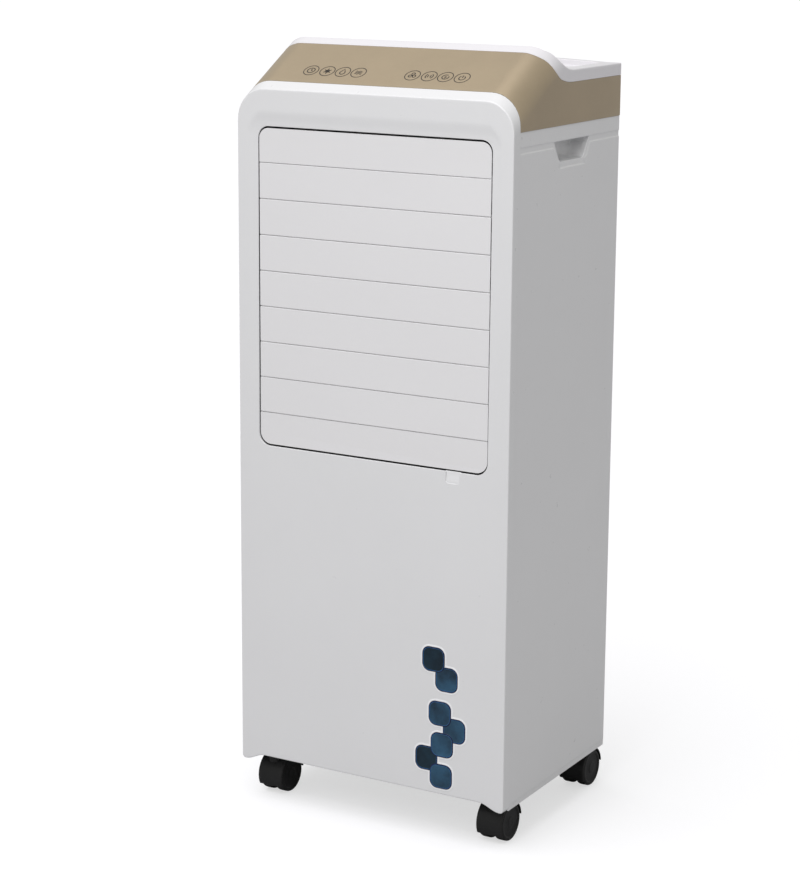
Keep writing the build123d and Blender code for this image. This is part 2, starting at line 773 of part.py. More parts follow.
with BuildPart() as water_pump:
    block((pump_x - 26, pump_x + 12), (pump_depth - 18, pump_depth + 24), pump_heights)
    fillet(water_pump.edges().filter_by(Axis.Z), 5)
    rod_z(hose_radius, pump_x, pump_depth, (pump_heights[1], pump_outlet_top))
    rod_z(hose_radius / 2, pump_x, pump_depth, (40, pump_outlet_top + 3), mode=Mode.SUBTRACT)
    block((pump_x - 24, pump_x - 16), (pump_depth - 8, pump_depth + 8),
          (pump_heights[1], floor_height))
keep(water_pump, "water_pump")

with BuildPart() as water_hose:
    with BuildLine() as route:
        FilletPolyline(place(pump_x, pump_depth, pump_outlet_top), place(pump_x, pump_depth, 262),
                       place(hose_x, pump_depth, 306), place(hose_x, pump_depth, 780),
                       place(hose_x, feed_depth, 818), place(hose_x, feed_depth, trough_foot + 10),
                       place(trough_half_width, feed_depth, trough_foot + 10), radius=9)
    with BuildSketch(Plane(origin=route.line @ 0, z_dir=route.line % 0)):
        Circle(hose_radius)
        Circle(hose_bore, mode=Mode.SUBTRACT)
    sweep()
keep(water_hose, "water_hose")

with BuildPart() as water_tank:
    tank_back = body_depth - seam
    block((-tank_half_width, tank_half_width), (tank_front, tank_back), (tank_bottom, tank_top))
    block((-tank_half_width + wall, tank_half_width - wall), (tank_front + wall, tank_back - wall),
          (tank_bottom + wall, tank_top + 1), mode=Mode.SUBTRACT)
    half, low, high = tank_grip
    block((-half - grip_rim, half + grip_rim), (tank_back - tank_grip_reach - grip_rim, tank_back),
          (low - grip_rim, high + grip_rim))
    block((-half, half), (tank_back - tank_grip_reach, tank_back + 1), (low, high), mode=Mode.SUBTRACT)
    rod_y(plug_hole_radius + 3, plug_x, (tank_back - 8, tank_back), plug_height)
    rod_y(plug_hole_radius, plug_x, (tank_back - 20, tank_back + 1), plug_height, mode=Mode.SUBTRACT)
keep(water_tank, "water_tank")

with BuildPart() as drain_plug:
    rod_y(plug_hole_radius - plug_play, plug_x, (tank_back - 8, tank_back + seam), plug_height)
    rod_y(plug_head_radius, plug_x, (tank_back + seam, tank_back + 4), plug_height)
    block((plug_x - 1.5, plug_x + 1.5), (tank_back + 3, tank_back + 8), (plug_height - 8, plug_height + 8))
keep(drain_plug, "drain_plug")


# ------------------------------------------------------------------ electronics
board_centre = place(0, control_board_depth, slope_height(control_board_depth))
slope_normal = (0, -slope_direction[2], slope_direction[1])
board_face = Plane(origin=board_centre, x_dir=(1, 0, 0), z_dir=slope_normal).offset(-control_board_drop)
with BuildPart() as control_board:
    with BuildSketch(board_face):
        Rectangle(*control_board_size)
    extrude(amount=-board_thickness)
    with BuildSketch(board_face):
        with GridLocations(*pillar_spacing, 2, 2):
            Circle(pillar_radius)
    extrude(amount=control_board_drop - wall * slope_run)
keep(control_board, "control_board")

with BuildPart() as power_board:
    board_x = side_x - wall - power_board_gap
    block((board_x, board_x + board_thickness), power_board_depths, power_board_heights)
    for depth in (power_board_depths[0] + pillar_inset, power_board_depths[1] - pillar_inset):
        for height in (power_board_heights[0] + pillar_inset, power_board_heights[1] - pillar_inset):
            rod_x(pillar_radius, (board_x + board_thickness, side_x - wall), depth, height)
    for depths, heights, rise in (transformer, terminal_block):
        block((board_x - rise, board_x), depths, heights)
    radius, depth, height, rise = capacitor
    rod_x(radius, (board_x - rise, board_x), depth, height)
keep(power_board, "power_board")


# ------------------------------------------------------------------ casters
def caster(label, x, depth):
    """A hooded twin-wheel caster whose wheels trail behind its stem."""
    axle_depth = depth + caster_trail
    beyond = hood_radius + 10
    with BuildPart() as hood:
        rod_x(hood_radius, (x - hood_half_width, x + hood_half_width), axle_depth, axle_height)
        for depths, edge in (((axle_depth - beyond, axle_depth), hood_front_edge),
                             ((axle_depth, axle_depth + beyond), hood_rear_edge)):
            block((x - beyond, x + beyond), depths, (-caster_height - 10, edge - caster_height),
                  mode=Mode.SUBTRACT)
        rod_z(stem_boss, x, depth, (axle_height + 18, -3))
        for side in (-1, 1):
            hollow = sorted((x + side * (wheel_gap - web_play), x + side * beyond))
            rod_x(wheel_radius + wheel_clearance, hollow, axle_depth, axle_height, mode=Mode.SUBTRACT)
        rod_x(web_radius, (x - wheel_gap + web_play, x + wheel_gap - web_play), axle_depth, axle_height)
        rod_x(axle_radius, (x - beyond, x + beyond), axle_depth, axle_height, mode=Mode.SUBTRACT)
        rod_z(stem_radius, x, depth, (stem_bottom, 5), mode=Mode.SUBTRACT)
    keep(hood, f"caster_{label}_hood")

    with BuildPart() as pins:
        rod_z(stem_radius, x, depth, (stem_bottom, stem_top))
        rod_x(axle_radius, (x - axle_reach, x + axle_reach), axle_depth, axle_height)
    keep(pins, f"caster_{label}_pins")

    for name, side in (("left", -1), ("right", 1)):
        with BuildPart() as wheel:
            span = sorted((x + side * wheel_gap, x + side * wheel_outer))
            rod_x(wheel_radius, span, axle_depth, axle_height)
            fillet(wheel.edges().filter_by(GeomType.CIRCLE), tyre_edge)
            bore = sorted((x + side * (wheel_gap - 1), x + side * (axle_reach + 0.3)))
            rod_x(axle_radius + running_gap, bore, axle_depth, axle_height, mode=Mode.SUBTRACT)
            dish = sorted((x + side * (wheel_outer - dish_depth), x + side * beyond))
            rod_x(dish_radius, dish, axle_depth, axle_height, mode=Mode.SUBTRACT)
            hub = sorted((x + side * (wheel_outer - dish_depth), x + side * wheel_outer))
            rod_x(hub_cap_radius, hub, axle_depth, axle_height)
        keep(wheel, f"caster_{label}_wheel_{name}")


for end, depth in caster_depths.items():
    caster(f"{end}_left", -caster_x, depth)
    caster(f"{end}_right", caster_x, depth)

print(len(finished), "sub-parts")
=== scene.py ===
"""Looks of an upright evaporative air cooler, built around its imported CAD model.

Sizes are in millimetres.  Places are x, depth behind the front face, and height above the
cabinet's bottom edge, and at() turns them into the frame's metres.
"""
import math

import bmesh
import bpy
from mathutils import Matrix, Vector


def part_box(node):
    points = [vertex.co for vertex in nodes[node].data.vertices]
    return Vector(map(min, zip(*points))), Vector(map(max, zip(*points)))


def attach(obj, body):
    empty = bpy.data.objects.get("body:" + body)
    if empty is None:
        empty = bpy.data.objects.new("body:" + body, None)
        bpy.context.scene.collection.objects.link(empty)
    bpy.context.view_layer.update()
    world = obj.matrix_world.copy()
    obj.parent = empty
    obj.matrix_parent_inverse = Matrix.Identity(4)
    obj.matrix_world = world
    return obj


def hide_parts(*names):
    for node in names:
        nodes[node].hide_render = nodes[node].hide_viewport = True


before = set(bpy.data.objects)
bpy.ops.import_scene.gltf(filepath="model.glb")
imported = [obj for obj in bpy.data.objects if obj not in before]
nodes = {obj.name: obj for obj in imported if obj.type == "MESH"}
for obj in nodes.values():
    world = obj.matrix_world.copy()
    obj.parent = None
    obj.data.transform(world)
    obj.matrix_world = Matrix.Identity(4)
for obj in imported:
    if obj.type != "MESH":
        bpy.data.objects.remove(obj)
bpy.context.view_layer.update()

MM = 0.001
add_to_scene = bpy.context.scene.collection.objects.link
# the control band slopes at 30 degrees
COS30 = math.cos(math.radians(30))
SIN30 = 0.5
TAN30 = SIN30 / COS30
# the window tiles stand this far in front of the front face
TILE_RISE = 0.8
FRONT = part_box("front_panel")[0].y / MM + TILE_RISE
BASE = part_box("rear_frame")[0].z / MM


def at(x, depth, height):
    return Vector((x * MM, (FRONT + depth) * MM, (BASE + height) * MM))


def box_mm(node):
    """A node's limits as x, depth and height pairs."""
    low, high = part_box(node)
    return ((low.x / MM, high.x / MM), (low.y / MM - FRONT, high.y / MM - FRONT),
            (low.z / MM - BASE, high.z / MM - BASE))


# ---- sizes shared with the frame
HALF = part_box("control_fascia")[1].x / MM
BODY_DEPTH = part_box("side_panel_left")[1].y / MM - FRONT
BODY_TOP = 896
CORNER = 40
# the foot under each front corner
FOOT_R = 5
FOOT_DROP = 6
FOOT_WIDE = 6
FOOT_RUN = 29
# how far the front's lower edge rises between the feet
EDGE_RISE = 3
# how far the side walls hang below the bottom edge, in front and behind
SKIRT = (7, 1.5)
# depth of the front shell's return
LIP = 16.5
BAND_LOW = box_mm("control_fascia")[2][0]
BAND_FRONT = box_mm("control_fascia")[1][0]
RIM_FRONT = box_mm("top_cover")[1][0]
# the tray deck, its crown, and the crest in front of it
DECK = 926.5
DECK_CROWN = 4.5
RIM_HEIGHT = 15.5
CREST = 105.5
SWEEP_FOOT = 150
# the outlet's opening and its corner radii
OPEN_HALF = 170
OPEN_LOW = 432.5
OPEN_HIGH = 849
OPEN_LOW_R = 17
OPEN_HIGH_R = 15
# the finger notch under the outlet
NOTCH = (110.7, 130.3)
NOTCH_LOW = 417.5
NOTCH_R = 3


# ---- materials
def srgb(r, g, b):
    out = []
    for v in (r, g, b):
        c = v / 255
        out.append(c / 12.92 if c <= 0.04045 else ((c + 0.055) / 1.055) ** 2.4)
    return (out[0], out[1], out[2], 1)


def scaled(colour, k):
    return tuple(min(1, c * k) for c in colour[:3]) + (1,)


def node_of(tree, kind, **inputs):
    n = tree.nodes.new(kind)
    for key, value in inputs.items():
        n.inputs[key.replace("_", " ")].default_value = value
    return n


# a Mix node's colour sockets
MIX_FACTOR, MIX_A, MIX_B, MIX_RESULT = 0, 6, 7, 2
# the part of a noise over which a colour changes, and the pointiness at which an edge is lightened, partly
# as scuffing and partly as a painted highlight
TONE_SPAN = (0.3, 0.7)
EDGE_SPAN = (0.52, 0.62)
FINE_SCALE = 14


def finish_of(name, colour, rough=0.35, vary=0.04, patch=6, rough_vary=0.06, grain=1400,
              bump=0.15, bump_depth=0.00004, edge_scuff_and_sheen=0.25, edge_scuff_and_sheen_colour=None, metallic=0, coat=0,
              coat_rough=0.1, specular=0.5, stretch=(1, 1, 1), second=None, transmission=0):
    """A moulded or metal surface: patchy colour, uneven gloss, fine grain, and convex edges lightened
    partly as scuffing and partly as a painted highlight.
    """
    mat = bpy.data.materials.new(name)
    mat.use_nodes = True
    tree = mat.node_tree
    link = tree.links.new
    shader = tree.nodes["Principled BSDF"]
    for socket, value in (("Metallic", metallic), ("Coat Weight", coat), ("Coat Roughness", coat_rough),
                          ("Specular IOR Level", specular), ("Transmission Weight", transmission)):
        shader.inputs[socket].default_value = value
    place = tree.nodes.new("ShaderNodeTexCoord")
    mapping = node_of(tree, "ShaderNodeMapping", Scale=stretch)
    link(place.outputs["Object"], mapping.inputs["Vector"])

    def noise(scale, detail, roughness):
        n = node_of(tree, "ShaderNodeTexNoise", Scale=scale, Detail=detail, Roughness=roughness)
        link(mapping.outputs["Vector"], n.inputs["Vector"])
        return n.outputs["Fac"]

    broad = noise(patch, 5, 0.6)
    tone = tree.nodes.new("ShaderNodeValToRGB")
    ends = tone.color_ramp.elements
    for end, position in zip(ends, TONE_SPAN):
        end.position = position
    ends[0].color = scaled(colour, 1 - vary)
    ends[1].color = second or scaled(colour, 1 + vary)
    link(broad, tone.inputs["Fac"])
    # convex edges are lightened by their pointiness: partly scuffing, partly a painted highlight along the
    # edges
    shape = tree.nodes.new("ShaderNodeNewGeometry")
    edge = node_of(tree, "ShaderNodeMapRange", From_Min=EDGE_SPAN[0], From_Max=EDGE_SPAN[1], To_Max=edge_scuff_and_sheen)
    link(shape.outputs["Pointiness"], edge.inputs["Value"])
    scuffed_and_lit_edge = tree.nodes.new("ShaderNodeMix")
    scuffed_and_lit_edge.data_type = "RGBA"
    scuffed_and_lit_edge.inputs[MIX_B].default_value = edge_scuff_and_sheen_colour or scaled(colour, 1.15)
    link(edge.outputs["Result"], scuffed_and_lit_edge.inputs[MIX_FACTOR])
    link(tone.outputs["Color"], scuffed_and_lit_edge.inputs[MIX_A])
    link(scuffed_and_lit_edge.outputs[MIX_RESULT], shader.inputs["Base Color"])
    fine = noise(patch * FINE_SCALE, 4, 0.55)
    gloss = node_of(tree, "ShaderNodeMapRange", To_Min=max(0.02, rough - rough_vary),
                    To_Max=min(1, rough + rough_vary))
    link(fine, gloss.inputs["Value"])
    link(gloss.outputs["Result"], shader.inputs["Roughness"])
    specks = noise(grain, 2, 0.5)
    relief = node_of(tree, "ShaderNodeBump", Strength=bump, Distance=bump_depth)
    link(specks, relief.inputs["Height"])
    link(relief.outputs["Normal"], shader.inputs["Normal"])
    return mat


SHELL = finish_of("shell_plastic", srgb(230, 230, 231), 0.30, vary=0.010, coat=0.25,
                  coat_rough=0.18, bump=0.08, edge_scuff_and_sheen=0.2, edge_scuff_and_sheen_colour=srgb(243, 243, 245))
SLAT = finish_of("slat_plastic", srgb(232, 231, 232), 0.36, vary=0.012, coat=0.1, edge_scuff_and_sheen=0.2,
                 edge_scuff_and_sheen_colour=srgb(240, 240, 243), stretch=(0.3, 1, 1))
RIM = finish_of("rim_plastic", srgb(231, 229, 232), 0.34, vary=0.008, coat=0.15, coat_rough=0.25,
                bump=0.03, rough_vary=0.015, edge_scuff_and_sheen=0.1, edge_scuff_and_sheen_colour=srgb(245, 244, 247))
GOLD = finish_of("champagne_lacquer", srgb(176, 159, 132), 0.42, vary=0.05, patch=9, rough_vary=0.05,
                 grain=5200, bump=0.25, metallic=0.55, coat=0.3, coat_rough=0.3,
                 edge_scuff_and_sheen_colour=srgb(214, 200, 170), edge_scuff_and_sheen=0.35)
ICON = finish_of("icon_print", srgb(52, 46, 38), 0.5, vary=0.1, patch=60, edge_scuff_and_sheen=0)
# the window border is white plastic painted brighter than the shell: a painted highlight for the light its
# raised rounding catches
BORDER_PAINTED_BRIGHT = finish_of("border_plastic_painted_highlight", srgb(246, 246, 248), 0.26, vary=0.008, coat=0.3, edge_scuff_and_sheen=0.3,
                   bump=0.08)
WINDOW_FACE = finish_of("window_face", srgb(16, 46, 66), 0.14, vary=0.3, patch=24, specular=0.4,
                        edge_scuff_and_sheen=0.1, second=srgb(48, 92, 122), rough_vary=0.04)
WINDOW_DARK = finish_of("window_dark", srgb(5, 24, 36), 0.14, vary=0.3, patch=24, specular=0.3,
                        edge_scuff_and_sheen=0.1, second=srgb(22, 50, 66), rough_vary=0.04)
# the rims' edges are lightened to bright blue: a painted highlight where they catch light
WINDOW_RIM = finish_of("window_rim", srgb(4, 14, 34), 0.14, vary=0.3, patch=34, specular=0.35,
                       edge_scuff_and_sheen=0.3, edge_scuff_and_sheen_colour=srgb(20, 54, 124), rough_vary=0.04,
                       second=srgb(10, 32, 78))
# a bright blue band on the flat step between rim and face: a painted highlight
WINDOW_STEP_HIGHLIGHT = finish_of("window_step_painted_highlight", srgb(50, 104, 160), 0.14, vary=0.25, patch=40, specular=0.4,
                        edge_scuff_and_sheen=0.3, rough_vary=0.04)
HOOD = finish_of("caster_nylon", srgb(28, 28, 28), 0.5, vary=0.12, patch=30, grain=2600, bump=0.5,
                 edge_scuff_and_sheen=0.3, edge_scuff_and_sheen_colour=srgb(52, 52, 51), specular=0.3)
TYRE = finish_of("wheel_nylon", srgb(25, 25, 25), 0.52, vary=0.18, patch=40, grain=1800, bump=0.5,
                 edge_scuff_and_sheen=0.3, edge_scuff_and_sheen_colour=srgb(56, 55, 53), specular=0.3)
STEEL = finish_of("plated_steel", srgb(176, 178, 182), 0.28, vary=0.1, patch=60, metallic=1,
                  stretch=(1, 1, 6), edge_scuff_and_sheen_colour=srgb(220, 220, 222))
BLACK = finish_of("black_moulding", srgb(40, 41, 43), 0.42, vary=0.1, patch=25, bump=0.4)
INNER = finish_of("inner_moulding", srgb(176, 178, 180), 0.55, vary=0.04, patch=12, bump=0.4, grain=900)
VANE = finish_of("vane_moulding", srgb(205, 206, 208), 0.5, vary=0.03, patch=14, bump=0.3)
CAN = finish_of("zinc_can", srgb(158, 162, 166), 0.38, vary=0.16, patch=45, metallic=0.9,
                rough_vary=0.12)
BLADES = finish_of("fan_moulding", srgb(128, 136, 144), 0.3, vary=0.05, patch=12, coat=0.2)
HOSE = finish_of("silicone", srgb(196, 200, 198), 0.35, vary=0.06, patch=30, transmission=0.35,
                 edge_scuff_and_sheen=0)
BOARD = finish_of("solder_mask", srgb(28, 92, 60), 0.3, vary=0.25, patch=90, coat=0.4,
                  second=srgb(44, 122, 78))
GRILLE = finish_of("grille_moulding", srgb(212, 213, 215), 0.42, vary=0.02, patch=10, bump=0.3)
CELLULOSE = finish_of("cellulose", srgb(150, 112, 66), 0.85, vary=0.22, patch=40, rough_vary=0.1,
                      grain=700, bump=0.8, bump_depth=0.0002, edge_scuff_and_sheen=0.3, specular=0.2,
                      edge_scuff_and_sheen_colour=srgb(190, 156, 106))
TANK = finish_of("tank_moulding", srgb(206, 208, 212), 0.45, vary=0.03, patch=8, bump=0.3)
THREAD = finish_of("filter_thread", srgb(126, 130, 134), 0.6, vary=0.15, patch=50, bump=0.5)


# ---- pieces
def piece(name, sheet, material, body, replaces=(), centre=None, solid=0, bevel=0,
          angle=35, materials=(), weld=0.004):
    """A Sheet's mesh with its thickness, rounded edges, body and slot.

    With a centre, its faces are turned away from that point.
    """
    mesh = bpy.data.meshes.new(name)
    mesh.from_pydata([tuple(v) for v in sheet.verts], [], sheet.faces)
    for m in (material,) + tuple(materials):
        mesh.materials.append(m)
    mesh.polygons.foreach_set("material_index", sheet.mats)
    bm = bmesh.new()
    bm.from_mesh(mesh)
    bmesh.ops.remove_doubles(bm, verts=bm.verts, dist=weld * MM)
    bmesh.ops.dissolve_degenerate(bm, edges=bm.edges, dist=weld * MM)
    bmesh.ops.recalc_face_normals(bm, faces=bm.faces)
    if centre is not None:
        outward = sum(f.normal.dot(f.calc_center_median() - centre) * f.calc_area() for f in bm.faces)
        if outward < 0:
            bmesh.ops.reverse_faces(bm, faces=bm.faces)
    bm.to_mesh(mesh)
    bm.free()
    return dress(bpy.data.objects.new(name, mesh), body, replaces, solid, bevel, angle)


def dress(obj, body, replaces=(), solid=0, bevel=0, angle=35):
    """Adds a piece's thickness and rounded edges, puts it under its body, and hides the parts that it
    replaces.
    """
    add_to_scene(obj)
    mesh = obj.data
    mesh.shade_smooth()
    mesh.set_sharp_from_angle(angle=math.radians(angle))

    def modify(label, kind, **settings):
        modifier = obj.modifiers.new(label, kind)
        for key, value in settings.items():
            setattr(modifier, key, value)

    if solid:
        modify("thickness", "SOLIDIFY", thickness=solid * MM, offset=-1, use_even_offset=True)
    if bevel:
        modify("edges", "BEVEL", width=bevel * MM, segments=2, limit_method="ANGLE",
               angle_limit=math.radians(angle), use_clamp_overlap=True, miter_outer="MITER_ARC")
    if solid or bevel:
        modify("normals", "WEIGHTED_NORMAL", keep_sharp=True)
    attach(obj, body)
    if replaces:
        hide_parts(*replaces)
    return obj


def from_cad(node, material, body, bevel=0.4, angle=30, merge=True):
    """A CAD node's shape with its moulded edges rounded.

    merge joins its flat triangles, which a face with a hole in it doesn't survive.
    """
    mesh = nodes[node].data.copy()
    mesh.materials.clear()
    mesh.materials.append(material)
    bm = bmesh.new()
    bm.from_mesh(mesh)
    bmesh.ops.remove_doubles(bm, verts=bm.verts, dist=0.002 * MM)
    if merge:
        bmesh.ops.dissolve_limit(bm, angle_limit=math.radians(1), verts=bm.verts, edges=bm.edges)
    bmesh.ops.recalc_face_normals(bm, faces=bm.faces)
    bm.to_mesh(mesh)
    bm.free()
    return dress(bpy.data.objects.new(node + "_moulding", mesh), body, (node,), bevel=bevel,
                 angle=angle)


def arc(cx, cy, r, start, end, steps):
    """Points on an arc, angles in degrees."""
    turns = [math.radians(start + (end - start) * k / steps) for k in range(steps + 1)]
    return [(cx + r * math.cos(a), cy + r * math.sin(a)) for a in turns]


def arc_rises(r, angles):
    """How far a rounded corner has risen at each angle."""
    return [r * (1 - math.cos(math.radians(a))) for a in angles]


def smooth(t):
    """A soft step from 0 to 1."""
    t = min(1, max(0, t))
    return t * t * (3 - 2 * t)


def slope_height(depth):
    """The height of the sloping top."""
    return BODY_TOP + depth * TAN30


class Sheet:
    """Collects points, faces and the faces' materials."""

    def __init__(self):
        self.verts = []
        self.faces = []
        self.mats = []

    def add(self, point):
        self.verts.append(point)
        return len(self.verts) - 1

    def row(self, points):
        return [self.add(p) for p in points]

    def face(self, *corners, mat=0):
        self.faces.append(corners)
        self.mats.append(mat)

    def bridge(self, a, b, closed=False, mat=0):
        n = len(a)
        for k in range(n if closed else n - 1):
            j = (k + 1) % n
            self.face(a[k], a[j], b[j], b[k], mat=mat)

    def loft(self, rings):
        """Joins closed rings one after another."""
        for a, b in zip(rings, rings[1:]):
            self.bridge(a, b, closed=True)

    def grid(self, rows, row_span, col_span):
        """Joins rows of points but for a hole, and returns the points round the hole."""
        (r0, r1), (c0, c1) = row_span, col_span
        for r in range(len(rows) - 1):
            for c in range(len(rows[0]) - 1):
                if not (r0 <= r < r1 and c0 <= c < c1):
                    self.face(rows[r][c], rows[r][c + 1], rows[r + 1][c + 1], rows[r + 1][c])
        edge = [rows[r0][c] for c in range(c0, c1)] + [rows[r][c1] for r in range(r0, r1)]
        edge += [rows[r1][c] for c in range(c1, c0, -1)] + [rows[r][c0] for r in range(r1, r0, -1)]
        return edge

    def cap(self, ring, mat=0):
        self.face(*ring, mat=mat)

    def box(self, x, depth, height):
        lo = [(x[0], depth[0]), (x[1], depth[0]), (x[1], depth[1]), (x[0], depth[1])]
        low = self.row([at(p[0], p[1], height[0]) for p in lo])
        high = self.row([at(p[0], p[1], height[1]) for p in lo])
        self.bridge(low, high, True)
        self.cap(low[::-1])
        self.cap(high)


# ---- front shell
# the soft recess round the outlet
DISH_HALF = 184
DISH_TOP = 867
DISH_R = 30
DISH_SLOPE = 17
DISH_DEEP = 2.3
DISH_CURVE = 2.2
DISH_FADE = 250


def dish(x, height):
    """How far the face lies behind the cabinet's front."""
    qx = abs(x) - (DISH_HALF - DISH_R)
    qy = height - (DISH_TOP - DISH_R)
    outside = math.hypot(max(qx, 0), max(qy, 0)) + min(max(qx, qy), 0) - DISH_R
    near = min(1, max(0, -outside / DISH_SLOPE))
    fade = smooth((height - DISH_FADE) / (OPEN_HIGH - DISH_FADE))
    return DISH_DEEP * (1 - (1 - near) ** DISH_CURVE) * fade


def open_edge(height):
    """Half of the outlet's width at a height."""
    for r, rise in ((OPEN_LOW_R, OPEN_LOW + OPEN_LOW_R - height),
                    (OPEN_HIGH_R, height - OPEN_HIGH + OPEN_HIGH_R)):
        if rise > 0:
            return OPEN_HALF - r + math.sqrt(max(0, r ** 2 - rise ** 2))
    return OPEN_HALF


# heights of the front's mesh rows, close together where its outline curves
low_arc = [OPEN_LOW + rise for rise in arc_rises(OPEN_LOW_R, range(0, 91, 9))]
high_arc = [OPEN_HIGH - rise for rise in arc_rises(OPEN_HIGH_R, range(0, 91, 9))]
notch_arc = [NOTCH_LOW + rise for rise in arc_rises(NOTCH_R, (0, 30, 60, 90))]
below_outlet = [45, 90, 150, 200, 250, 280, 310, 340, 370, 395, 410, 425]
beside_outlet = list(range(480, 830, 30))
SIDE_ROWS = sorted(set(below_outlet + low_arc + high_arc + notch_arc + beside_outlet + [851, 853.5]))

INSET_MAX = 15
SHELL_WALL = 3
RETURN_WALL = 2.6
# the shell's outline in from its largest, and its depth, round the front edge and back inside
SHELL_PROFILE = ((INSET_MAX, 0), (9, 0), (4, 0), (1.4, 0), (0.8, 0.1), (0.35, 0.4), (0.08, 0.85),
                 (0, 1.4), (0, LIP), (RETURN_WALL, LIP), (RETURN_WALL, SHELL_WALL),
                 (INSET_MAX, SHELL_WALL))
EDGE_STEPS = 7
EDGE_SPACE = 0.2
LEVEL_HEIGHT = 18
LEVEL_SPACE = 0.6


def shell_chain(inset, depth):
    """The right half of the shell's outline, from the bottom edge to the top edge."""
    half = HALF - inset
    low_r = max(FOOT_R - inset, 1)
    high_r = CORNER - inset
    top = slope_height(depth) - inset
    foot = HALF - FOOT_WIDE
    edge = []
    for k in range(EDGE_STEPS + 1):
        t = k / EDGE_STEPS
        rise = EDGE_RISE - (EDGE_RISE + FOOT_DROP) * smooth(t)
        furthest = half - low_r - EDGE_SPACE * (EDGE_STEPS + 1 - k)
        edge.append((min(foot - FOOT_RUN * (1 - t), furthest), rise + inset))
    edge += arc(half - low_r, inset + low_r - FOOT_DROP, low_r, -90, 0, 4)
    # further in, the rows level out so that the flat middle can join them
    level = (inset / INSET_MAX) ** 2
    chain = [(x, h * (1 - level) + (LEVEL_HEIGHT + LEVEL_SPACE * k) * level)
             for k, (x, h) in enumerate(edge)]
    chain += [(half, h) for h in SIDE_ROWS]
    chain += arc(half - high_r, top - high_r, high_r, 0, 90, 10)
    return chain


def notch_limits(height):
    """The notch's two sides at a height."""
    rise = NOTCH_LOW + NOTCH_R - height
    pull = 0
    if 0 < rise <= NOTCH_R:
        pull = NOTCH_R - math.sqrt(NOTCH_R ** 2 - rise ** 2)
    elif rise > NOTCH_R:
        pull = NOTCH_R
    return NOTCH[0] + pull, NOTCH[1] - pull


# the face's mesh columns: how far in they start, and those that the outlet and the notch cut
COLUMNS_IN = (3, 6, 9, 12)
CELLS = 13
OUTLET_CELLS = (5, 6, 7)
NOTCH_CELL = 6


def front_shell():
    s = Sheet()
    rings = []
    for inset, depth in SHELL_PROFILE:
        chain = shell_chain(inset, depth)
        right = s.row([at(x, depth, h) for x, h in chain])
        left = s.row([at(-x, depth, h) for x, h in chain])
        rings.append((right, left))
    for (r0, l0), (r1, l1) in zip(rings, rings[1:]):
        s.bridge(r0, r1)
        s.bridge(l0, l1)
        s.face(r0[0], r1[0], l1[0], l0[0])
        s.face(r0[-1], r1[-1], l1[-1], l0[-1])
    innermost = shell_chain(INSET_MAX, 0)
    heights = [h for x, h in innermost]

    def grid(ring, extra):
        """The flat face's points, extra behind the front."""
        rows = []
        for k, (half, h) in enumerate(innermost):
            beside = OPEN_LOW - 0.01 <= h <= OPEN_HIGH + 0.01
            xs = [half - n for n in COLUMNS_IN] + [open_edge(h) if beside else half - INSET_MAX]
            n0, n1 = notch_limits(h)
            across = xs + [n1, n0] + [-x for x in xs[::-1]]
            inner = s.row([at(x, dish(x, h) + extra, h) for x in across])
            rows.append([ring[0][k]] + inner + [ring[1][k]])
        return rows

    outer = grid(rings[0], 0)
    inner = grid(rings[-1], SHELL_WALL)

    def solid(r, c):
        """Whether a cell is solid; None for one beyond the face."""
        if r < 0 or r >= len(heights) - 1 or c < 0 or c >= CELLS:
            return None
        middle = (heights[r] + heights[r + 1]) / 2
        if OPEN_LOW < middle < OPEN_HIGH and c in OUTLET_CELLS:
            return False
        if NOTCH_LOW < middle < OPEN_LOW and c == NOTCH_CELL:
            return False
        return True

    for r in range(len(heights) - 1):
        for c in range(CELLS):
            if not solid(r, c):
                continue
            for rows in (outer, inner):
                s.face(rows[r][c], rows[r][c + 1], rows[r + 1][c + 1], rows[r + 1][c])
            # a wall where a solid cell meets an open one
            sides = (((r, c), (r, c + 1), (r - 1, c)), ((r + 1, c), (r + 1, c + 1), (r + 1, c)),
                     ((r, c), (r + 1, c), (r, c - 1)), ((r, c + 1), (r + 1, c + 1), (r, c + 1)))
            for (r0, c0), (r1, c1), beyond in sides:
                if solid(*beyond) is False:
                    s.face(outer[r0][c0], outer[r1][c1], inner[r1][c1], inner[r0][c0])
    piece("front_shell", s, SHELL, "cabinet", ("front_panel",),
          bevel=0.5, angle=40)


SCOOP_STEPS = 6
SCOOP_RISE = 16.5
SCOOP_DEPTH = (1.1, 1.75)


def notch_scoop():
    """The white scoop behind the finger notch."""
    s = Sheet()
    rows = []
    for k in range(SCOOP_STEPS + 1):
        t = k / SCOOP_STEPS
        depth = SCOOP_DEPTH[0] + SCOOP_DEPTH[1] * smooth(t)
        h = NOTCH_LOW - 1 + SCOOP_RISE * t
        rows.append(s.row([at(x, depth, h) for x in (NOTCH[0] - 1.2, NOTCH[1] + 1.2)]))
    for a, b in zip(rows, rows[1:]):
        s.bridge(a, b)
    piece("notch_scoop", s, SHELL, "cabinet", solid=0.8,
          centre=at(NOTCH[0], 40, NOTCH_LOW))


front_shell()
notch_scoop()


